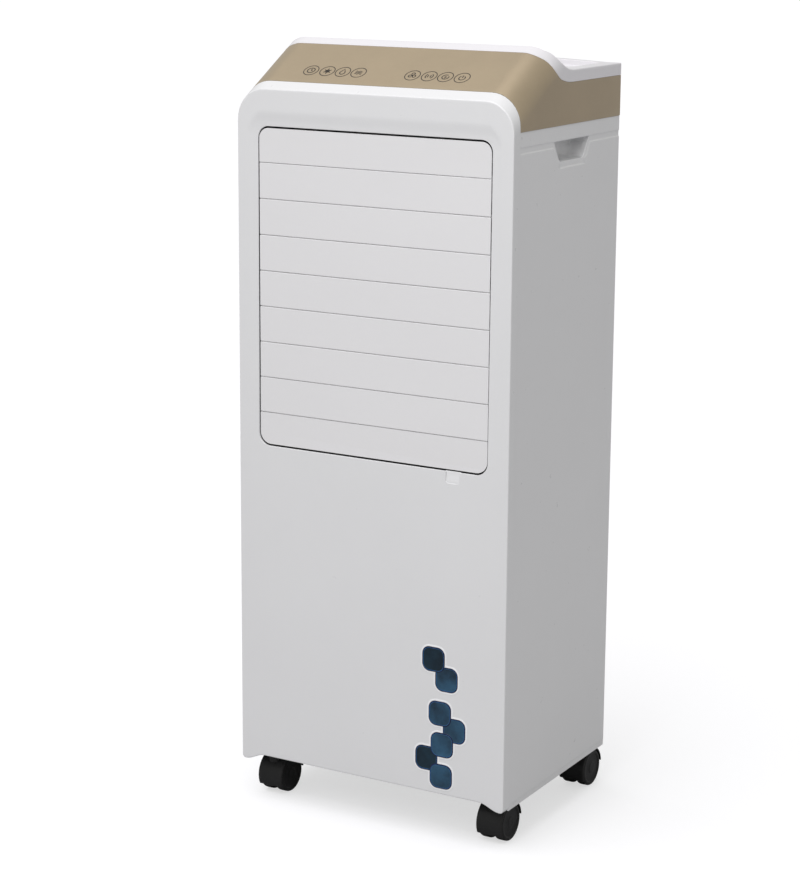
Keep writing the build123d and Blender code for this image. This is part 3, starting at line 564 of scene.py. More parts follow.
# ---- head
def hermite(points, first, last, x):
    """A smooth curve through points, given its slope at both ends."""
    n = len(points)
    slopes = [first]
    for k in range(1, n - 1):
        a, b, c = points[k - 1], points[k], points[k + 1]
        left = (b[1] - a[1]) / (b[0] - a[0])
        right = (c[1] - b[1]) / (c[0] - b[0])
        slopes.append(2 * left * right / (left + right) if left * right > 0 else 0)
    slopes.append(last)
    if x <= points[0][0]:
        return points[0][1]
    for k in range(n - 1):
        (x0, y0), (x1, y1) = points[k], points[k + 1]
        if x <= x1:
            w = x1 - x0
            t = (x - x0) / w
            return ((2 * t ** 3 - 3 * t ** 2 + 1) * y0 + (t ** 3 - 2 * t ** 2 + t) * w * slopes[k]
                    + (3 * t ** 2 - 2 * t ** 3) * y1 + (t ** 3 - t ** 2) * w * slopes[k + 1])
    return points[-1][1]


# the sweep's knots: how far behind its start, and the share of its drop still to go
SWEEP_KNOTS = ((7, 0.73), (17, 0.36), (32, 0.11))
SWEEP_SLOPE = -3.2


def sweep(start, level, depth):
    """The line that drops from the sloping top to the level deck."""
    d, h = start
    drop = h - level
    knots = [(d, h)] + [(d + run, level + share * drop) for run, share in SWEEP_KNOTS]
    return hermite(knots + [(SWEEP_FOOT, level)], SWEEP_SLOPE, 0, depth)


def seam_height(depth, gap):
    """The height of the seam between the gold band and the white top."""
    return sweep((RIM_FRONT - gap, slope_height(RIM_FRONT) + 1), DECK - RIM_HEIGHT - gap, depth)


def arch_point(u, depth):
    """A point on the arch: u below 0 is on the upright side, up to pi / 2 is on the corner."""
    shoulder = slope_height(depth) - CORNER
    if u < 0:
        return (HALF, shoulder + CORNER * u)
    return (HALF - CORNER + CORNER * math.cos(u), shoulder + CORNER * math.sin(u))


def arch_place(height, depth):
    """The value of u at a height."""
    rise = (height - slope_height(depth) + CORNER) / CORNER
    return rise if rise < 0 else math.asin(min(1, rise))


# mesh stations behind the band's front part, close together where the seam is steep
STATIONS = [0.5, 1.3, 2.4, 4, 6, 8.5, 11.5, 15, 19, 24, 30, 37, 45, 52, 58.5]
BAND_GAP = 0.3
FLAT_STEPS = 6
ARCH_STEPS = 12


def gold_band():
    s = Sheet()
    start = RIM_FRONT - BAND_GAP
    front = [BAND_FRONT + (start - BAND_FRONT) * k / FLAT_STEPS for k in range(FLAT_STEPS + 1)]
    rear = [start + d for d in STATIONS] + [180, 215, 250, BODY_DEPTH]
    backs = []
    for side in (1, -1):
        previous = None
        for depth in front + rear:
            top = slope_height(depth)
            if depth > start:
                top = min(top, seam_height(depth, BAND_GAP))
            last = arch_place(top, depth)
            first = arch_place(BAND_LOW, depth)
            shoulder = min(0, last)
            us = [first + (shoulder - first) * k / FLAT_STEPS for k in range(FLAT_STEPS)]
            us += [shoulder + (last - shoulder) * k / ARCH_STEPS for k in range(ARCH_STEPS + 1)]
            row = s.row([at(side * x, depth, h) for x, h in (arch_point(u, depth) for u in us)])
            if previous:
                s.bridge(previous, row)
            previous = row
        backs.append(previous)
    s.bridge(*backs)
    flat = []
    for depth in front:
        x, h = arch_point(math.pi / 2, depth)
        flat.append((s.add(at(x, depth, h)), s.add(at(-x, depth, h))))
    for (a, b), (c, d) in zip(flat, flat[1:]):
        s.face(a, b, d, c)
    piece("gold_band", s, GOLD, "cabinet", ("control_fascia",),
          centre=at(0, 120, 700), solid=2.2, bevel=0.45, angle=38)


gold_band()

# half of the tray's width and depth, and half of the square hole in the mesh round it
TRAY = (356 / 2, 124 / 2)
TRAY_MIDDLE = 217
TRAY_R = 12
TRAY_DEPTH = 6
HOLE = (TRAY[0] + 3, TRAY[1] + 1.8)
# the tray's rings: how far out, how far down, and how much of the deck's crown they follow
TRAY_RINGS = ((1.1, 0, 1), (0.45, 0.2, 1), (0.1, 0.7, 1), (0, 1.3, 1), (-0.25, 3, 0.5),
              (-0.5, 4.6, 0), (-1, 5.5, 0), (-1.9, 5.9, 0), (-3, TRAY_DEPTH, 0))
CROWN_RUN = 1.6
CREST_ROUND = (2.2, 1.2)
RIM_EDGE_R = 2.2
RIM_EDGE_FLAT = 2


def crown(x, depth):
    """How far the strip behind the tray rises above the deck."""
    rise = -1 + (DECK_CROWN + 1) * (1 - (x / HALF) ** 2)
    return max(0, rise) * smooth((depth - TRAY_MIDDLE - TRAY[1] + CROWN_RUN) / CROWN_RUN)


def bend(t, a, b, c):
    """A value along a quadratic curve."""
    return (1 - t) ** 2 * a + 2 * t * (1 - t) * b + t * t * c


def cover_height(depth):
    """The cover's top surface along the middle, with the crest's edge rounded."""
    start = (CREST, slope_height(CREST))
    first, last = CREST - CREST_ROUND[0], CREST + CREST_ROUND[1]
    if depth <= first:
        return slope_height(depth)
    if depth >= last:
        return sweep(start, DECK, depth)
    t = (depth - first) / (last - first)
    return bend(t, slope_height(first), slope_height(CREST) - 0.1, sweep(start, DECK, last))


def top_cover():
    s = Sheet()
    hole_front = TRAY_MIDDLE - HOLE[1]
    hole_back = TRAY_MIDDLE + HOLE[1]
    near = [0, 3, 6, 9.5, 13.5]
    inside = near[-1]
    hole_rows = [hole_front + n for n in near]
    hole_rows += [hole_front + inside + (2 * HOLE[1] - 2 * inside) * k / 4 for k in (1, 2, 3)]
    hole_rows += [hole_back - n for n in near[::-1]]
    crest_rows = [CREST - CREST_ROUND[0] + sum(CREST_ROUND) * k / 6 for k in range(7)]
    rows = [RIM_FRONT + d for d in (0, 0.5, 1.3, 2.4, 4, 6, 8.5)] + crest_rows
    rows += [CREST + d for d in (2, 3.2, 5, 7, 9.5, 12.5, 16, 20, 25, 31, 37)]
    rows += hole_rows + [285.5, 288, BODY_DEPTH]
    rows = [d for d in sorted(set(rows))
            if d < hole_front - 0.2 or d > hole_back + 0.2 or d in hole_rows]
    hole_x = [HOLE[0] - n for n in near]
    hole_x += [HOLE[0] - inside - (HOLE[0] - inside) * k / 8 for k in range(1, 9)]
    grid = []
    for depth in rows:
        top = min(cover_height(depth), slope_height(depth))
        low = min(seam_height(depth, 0), top - 0.01)
        u0 = arch_place(low, depth)
        u1 = arch_place(top, depth)
        cx, cz = arch_point(u1, depth)
        reach = min(RIM_EDGE_R / CORNER, (u1 - u0) * 0.5)
        side = [arch_point(u0 + (u1 - reach - u0) * k / 9, depth) for k in range(10)]
        a = side[-1]
        flat_edge = cx - RIM_EDGE_FLAT
        side += [(bend(t, a[0], cx, flat_edge), bend(t, a[1], cz, top)) for t in (0.25, 0.5, 0.75)]
        edge_col = len(side) + 1
        across = [(min(x, flat_edge - 0.2 * k), top + crown(x, depth))
                  for k, x in enumerate([flat_edge] + hole_x)]
        line = side + across
        right = s.row([at(x, depth, z) for x, z in line])
        left = s.row([at(-x, depth, z) for x, z in line])
        grid.append(right + left[-2::-1])
    width = len(grid[0])
    loop = s.grid(grid, (rows.index(hole_rows[0]), rows.index(hole_rows[-1])),
                  (edge_col, width - 1 - edge_col))

    def ring(grow, drop, follow):
        points = []
        hx, hy = TRAY[0] + grow, TRAY[1] + grow
        r = TRAY_R + grow
        for v in loop:
            p = s.verts[v]
            x = p.x / MM
            d = p.y / MM - FRONT - TRAY_MIDDLE
            kx = max(-(hx - r), min(hx - r, x))
            kd = max(-(hy - r), min(hy - r, d))
            away = math.hypot(x - kx, d - kd)
            qx = kx + (x - kx) / away * r
            qd = kd + (d - kd) / away * r
            behind = qd > 0 and abs(qd) > hy - 2
            z = DECK - drop + follow * crown(qx, TRAY_MIDDLE + TRAY[1] if behind else 0)
            points.append(at(qx, TRAY_MIDDLE + qd, z))
        return s.row(points)

    rings = [loop] + [ring(*values) for values in TRAY_RINGS]
    s.loft(rings)
    s.cap(rings[-1])
    # the rear face, from the top edge down to the seam
    back = grid[-1]
    bottom = s.row([at(s.verts[v].x / MM, BODY_DEPTH, DECK - RIM_HEIGHT) for v in back])
    keep = [k for k in range(width) if s.verts[back[k]].z > s.verts[bottom[k]].z + 1e-6]
    s.bridge([back[k] for k in keep], [bottom[k] for k in keep])
    piece("top_rim", s, RIM, "cabinet", ("top_cover",),
          centre=at(0, 190, 850), solid=2.0, bevel=0.6, angle=50)


top_cover()


# ---- touch icons on the slope
ICON_DEPTH = 39.6
ICON_LIFT = 0.12
ICON_LEFT = (-113.3, -89.1, -66.1, -42.9)
ICON_RIGHT = (35.4, 59.3, 82.3, 105.8)
RING_R = 10.2
RING_LINE = 1.15
ICON_LINE = 1.35
ICONS = ("clock", "snow", "drop", "wave", "fan", "swing", "mode", "power")


def on_slope(x, up, lift=ICON_LIFT):
    """A point above the sloping band: up is measured along the slope from the icons' row."""
    depth = ICON_DEPTH + up * COS30 - lift * SIN30
    return at(x, depth, slope_height(ICON_DEPTH) + up * SIN30 + lift * COS30)


def ribbon(s, points, width, closed=False):
    """A flat printed line through points (x, up)."""
    n = len(points)
    sides = []
    for k in range(n):
        p = points[k]
        a = points[(k - 1) % n] if closed or k > 0 else p
        b = points[(k + 1) % n] if closed or k < n - 1 else p
        dx, dy = b[0] - a[0], b[1] - a[1]
        size = math.hypot(dx, dy)
        nx, ny = -dy / size * width / 2, dx / size * width / 2
        sides.append(((p[0] + nx, p[1] + ny), (p[0] - nx, p[1] - ny)))
    top = [s.row([on_slope(*q) for q in pair]) for pair in sides]
    low = [s.row([on_slope(*q, lift=-0.1) for q in pair]) for pair in sides]
    for k in range(n if closed else n - 1):
        j = (k + 1) % n
        a, b, c, d = top[k], top[j], low[k], low[j]
        s.face(a[0], b[0], b[1], a[1])
        s.face(c[0], c[1], d[1], d[0])
        s.face(a[0], c[0], d[0], b[0])
        s.face(a[1], b[1], d[1], c[1])
    if not closed:
        for k, order in ((0, 1), (n - 1, -1)):
            end = (top[k][0], top[k][1], low[k][1], low[k][0])
            s.face(*end[::order])


def circle(x, up, r, steps=28):
    """A whole circle's points."""
    return arc(x, up, r, 0, 360, steps)[:-1]


def spoke(a, r):
    """A point at an angle in degrees, r from the middle."""
    return r * math.cos(math.radians(a)), r * math.sin(math.radians(a))


def glyph(s, kind, x):
    """One icon's strokes, in millimetres from the middle of its ring."""
    w = ICON_LINE
    if kind == "clock":
        ribbon(s, circle(x, 0, 5.2), w, True)
        ribbon(s, [(x, 3.4), (x, 0), (x + 2.6, -1.6)], w)
    elif kind == "snow":
        for a in (30, 90, 150):
            c, d = spoke(a, 5.6)
            ribbon(s, [(x - c, -d), (x + c, d)], w)
        ribbon(s, circle(x, 0, 2.6, 14), w, True)
    elif kind == "drop":
        ribbon(s, [(x, 6)] + arc(x, -1.6, 3.6, 150, 390, 14), w, True)
    elif kind == "wave":
        for up in (-2.6, 0, 2.6):
            ribbon(s, [(x - 5 + k, up + 0.9 * math.sin(k * 1.26)) for k in range(11)], w * 0.8)
    elif kind == "fan":
        for a in (90, 210, 330):
            c, d = spoke(a, 3.2)
            ribbon(s, arc(x + c, d, 2.3, a + 180, a + 480, 12), w)
        ribbon(s, circle(x, 0, 0.9, 8), w, True)
    elif kind == "swing":
        for side in (-1, 1):
            ribbon(s, arc(x, 0, 5.2, 90 - side * 40, 90 - side * 140, 9), w)
            ribbon(s, [(x + side * 1.9, 2.4), (x + side * 1.9, -2.4)], w)
    elif kind == "mode":
        ribbon(s, arc(x, 0, 4.6, 60, 380, 16), w)
        ribbon(s, [(x + 1, 1.8), (x - 1.5, -0.2), (x + 1.5, -0.6), (x - 0.9, -2.8)], w)
    else:
        ribbon(s, arc(x, -0.4, 4.2, 125, 415, 16), w)
        ribbon(s, [(x, 5), (x, 0.2)], w)


def touch_icons():
    s = Sheet()
    for x, kind in zip(ICON_LEFT + ICON_RIGHT, ICONS):
        ribbon(s, circle(x, 0, RING_R, 40), RING_LINE, True)
        glyph(s, kind, x)
    piece("touch_icons", s, ICON, "cabinet", centre=at(0, 60, 500))


touch_icons()


# ---- water level windows
TILE = 33.2 / 2
TILE_R = 10.5
# each tile's middle, and whether it lies over its neighbours
UPPER = ((96.3, 183.4, True), (115.6, 158.9, False))
LOWER = ((106.4, 112.1, True), (127.6, 92.1, False), (109.9, 70.1, True), (87.1, 48.9, False),
         (108.8, 27.4, True))
DARK_TILES = ((96.3, 183.4), (87.1, 48.9))


def square_ring(s, cx, cz, half, r, depth):
    """A rounded square's points."""
    points = []
    for qx, qz, start in ((1, 1, 0), (-1, 1, 90), (-1, -1, 180), (1, -1, 270)):
        points += arc(cx + qx * (half - r), cz + qz * (half - r), r, start, start + 90, 8)
    return s.row([at(x, depth, z) for x, z in points])


# rings round a tile: how far out, and the depth
BORDER_RINGS = ((2.3, 0.6), (2.25, -0.1), (2.05, -0.22), (1.6, -0.28), (-0.6, -0.2), (-0.8, 0.3),
                (-0.8, 0.6))
TOP_OVER, TOP_UNDER = -0.78, -0.46
RIM_MAT, FACE_MAT, STEP_HIGHLIGHT_MAT, DARK_MAT = range(4)


def windows(name, tiles, node):
    """A raised white border painted brighter as a highlight, and tinted tiles that overlap corner over
    corner, each with a painted highlight on the step inside its rim.
    """
    border = Sheet()
    lens = Sheet()
    for cx, cz, over in tiles:
        rings = [square_ring(border, cx, cz, TILE + g, TILE_R + g, d) for g, d in BORDER_RINGS]
        border.loft(rings + rings[:1])
        top = TOP_OVER if over else TOP_UNDER
        face = DARK_MAT if (cx, cz) in DARK_TILES else FACE_MAT
        profile = ((0.1, 0.5), (0.1, -0.1), (-0.15, top * 0.62), (-0.5, top * 0.88), (-0.9, top),
                   (-1.35, top), (-1.6, top + 0.04), (-2.0, top + 0.12), (-2.5, top + 0.14),
                   (-6.5, top + 0.1), (-10, top + 0.09))
        # the band on the step inside the rim takes the painted highlight
        mats = [RIM_MAT] * 6 + [STEP_HIGHLIGHT_MAT] + [face] * 3
        rings = [square_ring(lens, cx, cz, TILE + g, max(TILE_R + g, 3.5), d) for g, d in profile]
        lens.cap(rings[0])
        for a, b, mat in zip(rings, rings[1:], mats):
            lens.bridge(a, b, closed=True, mat=mat)
        lens.cap(rings[-1], mat=face)
    piece(name + "_border", border, BORDER_PAINTED_BRIGHT, "cabinet")
    piece(name + "_lens", lens, WINDOW_RIM, "cabinet", (node,),
          materials=(WINDOW_FACE, WINDOW_STEP_HIGHLIGHT, WINDOW_DARK))


windows("upper_window", UPPER, "upper_window")
windows("lower_window", LOWER, "lower_window")


# ---- slats, side panels and rear
for k in range(1, 10):
    from_cad(f"slat_{k}", SLAT, f"slat_{k}", bevel=0.7)


GRIP_TOP = 840
GRIP_LOW = 813
GRIP = ((108, 206), (124, 191))
GRIP_R = 6
GRIP_DEEP = 24
GRIP_MIDDLE = (157.5, 828)
GRIP_REACH = 16
GRIP_BORDER = 5.5
# the pocket's rings: how deep, and how far in from its mouth
GRIP_RINGS = ((0.15, 0.25), (0.5, 0.5), (1.2, 0.6), (3.5, 0.7), (4.5, 0.7), (5.5, 0.8), (7, 0.9),
              (14, 1.2), (19, 1.7), (21.5, 2.8), (23.2, 4.8), (GRIP_DEEP, 8))
# the pocket opens upwards behind its mouth
GRIP_LIFT = 11
GROOVE = 0.8
GROOVE_WIDE = 7.5
FOOT_GROOVE = 0.35
FOOT_GROOVE_HEIGHT = 8.2
SKIRT_FADE = 60


def grip_edges(height):
    """The grip mouth's front and rear depths at a height, with rounded lower corners."""
    t = min(1, max(0, (GRIP_TOP - height) / (GRIP_TOP - GRIP_LOW)))
    (f0, r0), (f1, r1) = GRIP
    front = f0 + (f1 - f0) * t
    rear = r0 + (r1 - r0) * t
    rise = max(0, GRIP_LOW + GRIP_R - height)
    pull = (GRIP_R - math.sqrt(max(0, GRIP_R ** 2 - min(rise, GRIP_R) ** 2))) * 0.8
    return front + pull, rear - pull


def groove_depth(depth, height):
    """The shallow channel that runs along the side and round under the grip."""
    front, rear = grip_edges(height)
    band = min(GRIP_TOP - height, height - (GRIP_TOP - GROOVE_WIDE))
    under = min(depth - front + GRIP_BORDER, rear + GRIP_BORDER - depth,
                height - GRIP_LOW + GRIP_BORDER + 1.5, GRIP_TOP - height)
    inside = max(band, under)
    foot = FOOT_GROOVE * smooth((skirt_edge(depth) + FOOT_GROOVE_HEIGHT - height) / 1.2)
    return GROOVE * smooth(inside / 1.1 + 0.5) + foot


def skirt_edge(depth):
    """The height of the side wall's lower edge."""
    d0, d1 = box_mm("side_panel_left")[1]
    return -SKIRT[0] + (SKIRT[0] - SKIRT[1]) * (depth - d0) / (d1 - d0)


def warp(u, height):
    """Moves a mesh column's depth so that the columns follow the grip's slanted ends."""
    f, r = GRIP[0]
    front, rear = grip_edges(max(GRIP_LOW, height))
    lean = smooth((height - (GRIP_LOW - 12)) / 12) if height < GRIP_LOW else 1
    front = f + (front - f) * lean
    rear = r + (rear - r) * lean
    lo, hi = f - GRIP_REACH, r + GRIP_REACH
    if u <= lo or u >= hi or height >= GRIP_TOP:
        return u
    if u < f:
        return lo + (u - lo) * (front - lo) / (f - lo)
    if u > r:
        return hi - (hi - u) * (hi - rear) / (hi - r)
    return front + (u - f) * (rear - front) / (r - f)


# the side's mesh: fine rows and columns round the grip, wider ones elsewhere
GRIP_ROWS = [GRIP_LOW - 10 + 0.75 * k for k in range(54)]
GRIP_CORNER = [GRIP_LOW + rise for rise in arc_rises(GRIP_R, (0, 20, 40, 60, 80))]
PLAIN_ROWS = [0, 6.6, 7.4, 8.2, 9, 60, 160, 300, 450, 600, 720, 790, 852]
NEAR_COLUMNS = 12
MOUTH_COLUMNS = 24


def side_panel(name, side):
    (x0, x1), (d0, d1), (_, z1) = box_mm("side_panel_" + name)
    face_x = x1 if side > 0 else -x0
    s = Sheet()
    rows = [h for h in GRIP_ROWS if h < GRIP_LOW - 0.3 or GRIP_LOW + GRIP_R < h < GRIP_TOP - 0.3
            or h > GRIP_TOP + 0.3]
    rows = sorted(rows + GRIP_CORNER + [GRIP_TOP] + PLAIN_ROWS + [z1])
    front, rear = GRIP[0]
    us = [d0, 40, 70, 92] + [front - NEAR_COLUMNS + k for k in range(NEAR_COLUMNS)]
    mouth = len(us)
    us += [front + (rear - front) * k / MOUTH_COLUMNS for k in range(MOUTH_COLUMNS + 1)]
    us += [rear + 1 + k for k in range(NEAR_COLUMNS)] + [222, 240, 265, d1]
    grid = []
    for h in rows:
        places = [warp(u, h) for u in us]
        points = [(d, h + skirt_edge(d) * max(0, 1 - h / SKIRT_FADE)) for d in places]
        grid.append(s.row([at(side * (face_x - groove_depth(d, z)), d, z) for d, z in points]))
    loop = s.grid(grid, (rows.index(GRIP_CORNER[0]), rows.index(GRIP_TOP)),
                  (mouth, mouth + MOUTH_COLUMNS))
    middle_d, middle_h = GRIP_MIDDLE

    def ring(deep, shrink):
        points = []
        for v in loop:
            p = s.verts[v]
            d = p.y / MM - FRONT
            h = p.z / MM - BASE
            lift = GRIP_LIFT * smooth((deep - 4) / 3) * smooth((h - 833) / 6)
            pull = min(shrink, abs(d - middle_d))
            d += -math.copysign(pull, d - middle_d) * smooth(abs(d - middle_d) / 30)
            h += -math.copysign(shrink, h - middle_h) * smooth(abs(h - middle_h) / 8)
            points.append(at(side * (abs(p.x) / MM - deep), d, h + lift))
        return s.row(points)

    rings = [loop] + [ring(deep, shrink) for deep, shrink in GRIP_RINGS]
    s.loft(rings)
    s.cap(rings[-1])
    piece("side_moulding_" + name, s, SHELL, "cabinet",
          ("side_panel_" + name,), centre=at(side * 60, 150, 400), solid=1.8, bevel=0.45, angle=50)


side_panel("left", -1)
side_panel("right", 1)
from_cad("rear_frame", SHELL, "cabinet", bevel=0, merge=False)
from_cad("filter_frame", GRILLE, "filter", bevel=0.5)
from_cad("water_tank", TANK, "tank", bevel=0, merge=False)
from_cad("drain_plug", BLACK, "plug", bevel=0.5)
from_cad("cord_gland", BLACK, "cabinet", bevel=0.6)


THREAD_PITCH = 4.6
THREAD_HALF = 0.22
MESH_EDGE = 14
MESH_GRIP = 13.5
PAD_LAYERS = 76
PAD_STEPS = 150
PAD_WALL = 0.45
FLUTE_STEPS = 3.0


def filter_mesh():
    (x0, x1), _, (z0, z1) = box_mm("filter_frame")
    s = Sheet()
    depth = BODY_DEPTH - 9.2
    across = int((x1 - x0 - 2 * MESH_EDGE) / THREAD_PITCH)
    for k in range(1, across):
        x = x0 + MESH_EDGE + (x1 - x0 - 2 * MESH_EDGE) * k / across
        s.box((x - THREAD_HALF, x + THREAD_HALF), (depth, depth + 0.4), (z0 + MESH_GRIP, z1 - MESH_GRIP))
    up = int((z1 - z0 - 2 * MESH_EDGE) / THREAD_PITCH)
    for k in range(1, up):
        z = z0 + MESH_EDGE + (z1 - z0 - 2 * MESH_EDGE) * k / up
        s.box((x0 + MESH_GRIP, x1 - MESH_GRIP), (depth + 0.3, depth + 0.7),
              (z - THREAD_HALF, z + THREAD_HALF))
    piece("filter_mesh", s, THREAD, "filter")


def fluted_pad():
    """Wavy cellulose sheets, each slanted against the next."""
    (x0, x1), (d0, d1), (z0, z1) = box_mm("cooling_pad")
    s = Sheet()
    step = (z1 - z0) / PAD_LAYERS
    half = PAD_STEPS + 1
    for k in range(PAD_LAYERS):
        middle = z0 + step * (k + 0.5)
        sign = 1 if k % 2 else -1
        loops = []
        for d, turn in ((d0 + 0.5, -1), (d1 - 0.5, 1)):
            ups, downs = [], []
            for j in range(PAD_STEPS + 1):
                x = x0 + 0.5 + (x1 - x0 - 1) * j / PAD_STEPS
                wave = sign * turn * (step / 2 - 0.9) * math.sin(j * math.pi / FLUTE_STEPS)
                ups.append(at(x, d, middle + wave + PAD_WALL))
                downs.append(at(x, d, middle + wave - PAD_WALL))
            loops.append(s.row(ups) + s.row(downs[::-1]))
        s.bridge(loops[0], loops[1], closed=True)
        for loop in loops:
            for j in range(PAD_STEPS):
                s.face(loop[j], loop[j + 1], loop[2 * half - 2 - j], loop[2 * half - 1 - j])
    piece("fluted_pad", s, CELLULOSE, "filter", ("cooling_pad",), weld=0.001)


filter_mesh()
fluted_pad()


SCREW_X = 189
SCREW_HEIGHTS = (30, 300, 580, 840)
# the screw's rings: radius, and how far behind the cabinet
SCREW_RINGS = ((1.5, -9), (1.5, 0.1), (3.55, 0.1), (3.6, 0.7), (3.35, 1.4), (2.7, 2.0), (2.1, 2.2))
# a quarter of the cross recess
CROSS = ((1.9, -0.35), (1.9, 0.35), (0.35, 0.35))
CROSS_TOP, CROSS_FLOOR, CROSS_TAPER = 2.25, 0.9, 0.8


def screws():
    s = Sheet()
    cross = []
    for quarter in range(4):
        a = math.radians(90 * quarter)
        for px, pz in CROSS:
            cross.append((px * math.cos(a) - pz * math.sin(a), px * math.sin(a) + pz * math.cos(a)))
    for x in (-SCREW_X, SCREW_X):
        for h in SCREW_HEIGHTS:
            rings = [s.row([at(px, BODY_DEPTH + d, pz) for px, pz in circle(x, h, r, 24)])
                     for r, d in SCREW_RINGS]
            s.loft(rings)
            s.cap(rings[0])
            top = s.row([at(x + px, BODY_DEPTH + CROSS_TOP, h + pz) for px, pz in cross])
            low = s.row([at(x + px * CROSS_TAPER, BODY_DEPTH + CROSS_FLOOR, h + pz * CROSS_TAPER)
                         for px, pz in cross])
            # twelve cross corners against twenty-four rim points
            rim = rings[-1]
            for k in range(12):
                a, b, c = rim[(2 * k - 1) % 24], rim[(2 * k) % 24], rim[(2 * k + 1) % 24]
                s.face(a, b, top[k])
                s.face(b, c, top[(k + 1) % 12], top[k])
            s.bridge(top, low, closed=True)
            s.cap(low)
    piece("rear_screws", s, STEEL, "cabinet", ("cabinet_screws",))


screws()


# ---- casters
# the hood's radii, the height of its rear edge, and its section in from each side
HOOD_OUTER = 28.5
HOOD_INNER = 26.5
HOOD_REAR = -32
HOOD_EDGE = ((0, 1.4), (0.4, 0.5), (1.3, 0.06), (2.4, 0))
HOOD_STEPS = 40
BOSS_R = 10.5
BOSS_RINGS = ((5.05, -16), (9, -16), (9, -3.7), (8.4, -3.1), (5.05, -3.1))
STEM_R = 5
AXLE_R = 3.07
# the wheel's rings: radius, and the distance from its inner or its outer face
WHEEL_INNER = ((AXLE_R, 0), (9, 0), (9.5, 1.4), (18.5, 1.4), (19.5, 0.3), (22.5, 0.05), (23.6, 0.3),
               (24.5, 1.1), (24.92, 2.3))
TREAD_IN = 4
WHEEL_OUTER = ((24.9, 2.2), (24.4, 1), (23.6, 0.3), (22.6, 0), (21, 0), (20.2, 0.35), (19.6, 1.1),
               (18.8, 1.35), (11, 0.9), (8.6, 0.7), (8, 0.2), (7.3, 0), (5, 0), (1.2, 0))
BORE_END = 2.6


def caster(label):
    (hx0, hx1), _, (hood_low, _) = box_mm(f"caster_{label}_hood")
    (wx0, wx1), (wd0, wd1), (wz0, wz1) = box_mm(f"caster_{label}_wheel_left")
    cx = (hx0 + hx1) / 2
    half = (hx1 - hx0) / 2
    ad, ah = (wd0 + wd1) / 2, (wz0 + wz1) / 2
    body = "caster_" + label
    gap = cx - wx1
    s = Sheet()
    low_angle = 180 + math.degrees(math.asin((ah - hood_low) / HOOD_OUTER))
    high_angle = math.degrees(math.asin((HOOD_REAR - ah) / HOOD_OUTER))
    angles = [low_angle + (high_angle - low_angle) * k / HOOD_STEPS for k in range(HOOD_STEPS + 1)]
    section = [(-half, HOOD_INNER)] + [(-half + x, HOOD_OUTER - r) for x, r in HOOD_EDGE]
    section += [(half - x, HOOD_OUTER - r) for x, r in HOOD_EDGE[::-1]] + [(half, HOOD_INNER)]
    rings = []
    for a in angles:
        c, d = spoke(a, 1)
        rings.append(s.row([at(cx + x, ad + r * c, ah + r * d) for x, r in section]))
    s.loft(rings)
    s.cap(rings[0])
    s.cap(rings[-1])
    # the web between the wheels
    web = gap - 0.6
    outline = [(ad + y, ah + z) for y, z in (spoke(a, HOOD_INNER + 1) for a in angles)]
    outline += arc(ad, ah, BOSS_R, high_angle - 8, -(360 - low_angle) + 8, 12)
    sides = [s.row([at(cx + x, d, h) for d, h in outline]) for x in (-web, web)]
    s.bridge(sides[0], sides[1], closed=True)
    for side in sides:
        s.cap(side)
    # the stem's boss
    stem_depth = box_mm(f"caster_{label}_pins")[1][0] + STEM_R
    rings = [s.row([at(x, d, h) for x, d in circle(cx, stem_depth, r, 32)]) for r, h in BOSS_RINGS]
    s.loft(rings + rings[:1])
    piece(body + "_hood_shell", s, HOOD, body, (f"caster_{label}_hood",), bevel=0.4,
          angle=40)
    radius = (wd1 - wd0) / 2
    far = gap + wx1 - wx0
    profile = [(r, gap + x) for r, x in WHEEL_INNER] + [(radius, gap + TREAD_IN), (radius, far - TREAD_IN)]
    profile += [(r, far - x) for r, x in WHEEL_OUTER]
    for name, side in (("left", -1), ("right", 1)):
        w = Sheet()

        def wheel_ring(r, x):
            return w.row([at(cx + side * x, d, h) for d, h in circle(ad, ah, r, 56)])

        rings = [wheel_ring(r, x) for r, x in profile]
        w.loft(rings)
        w.cap(rings[-1])
        bore = wheel_ring(AXLE_R, far - BORE_END)
        w.bridge(rings[0], bore, closed=True)
        w.cap(bore)
        node = f"caster_{label}_wheel_{name}"
        piece(node + "_tyre", w, TYRE, node, (node,))


CASTERS = [f"{end}_{side}" for end in ("front", "rear") for side in ("left", "right")]
for label in CASTERS:
    caster(label)

# ---- CAD nodes that stay
# the outlet duct takes the black moulding as painted shade, so that the gaps round the slats show dark
KEPT = {"base_plate": INNER, "caster_sockets": INNER, "inner_chassis": INNER, "outlet_duct": BLACK,
        "stepper_motors": CAN, "louvre_link": VANE, "swing_crank": VANE, "vane_link": VANE,
        "fan_motor": CAN, "fan_blades": BLADES, "fan_shaft": STEEL, "water_distributor": INNER,
        "water_pump": BLACK, "water_hose": HOSE, "control_board": BOARD, "power_board": BOARD}
KEPT.update({f"vane_{k}": VANE for k in range(1, 6)})
KEPT.update({f"caster_{label}_pins": STEEL for label in CASTERS})
for node, material in KEPT.items():
    mesh = nodes[node].data
    if not mesh.materials:
        mesh.materials.append(material)
    for slot in nodes[node].material_slots:
        slot.material = material


# ---- stage, light and camera
WORLD_LIGHT = 0.55
WORLD_COLOUR = (1, 1, 0.975, 1)
WHITE = (1, 1, 1, 1)
FLOOR_GLOW = 0.6
FLOOR_HALF = 40
SUN_COLOUR = (0.965, 0.955, 1)
SUN_TOWARDS = (-0.1, -0.2, 0.7)
SUN_SPREAD = math.radians(50)
SOFTBOX_PLACE = Vector((0.25, -1.6, 1.6))
SOFTBOX_TARGET = Vector((0, 0, 0.75))


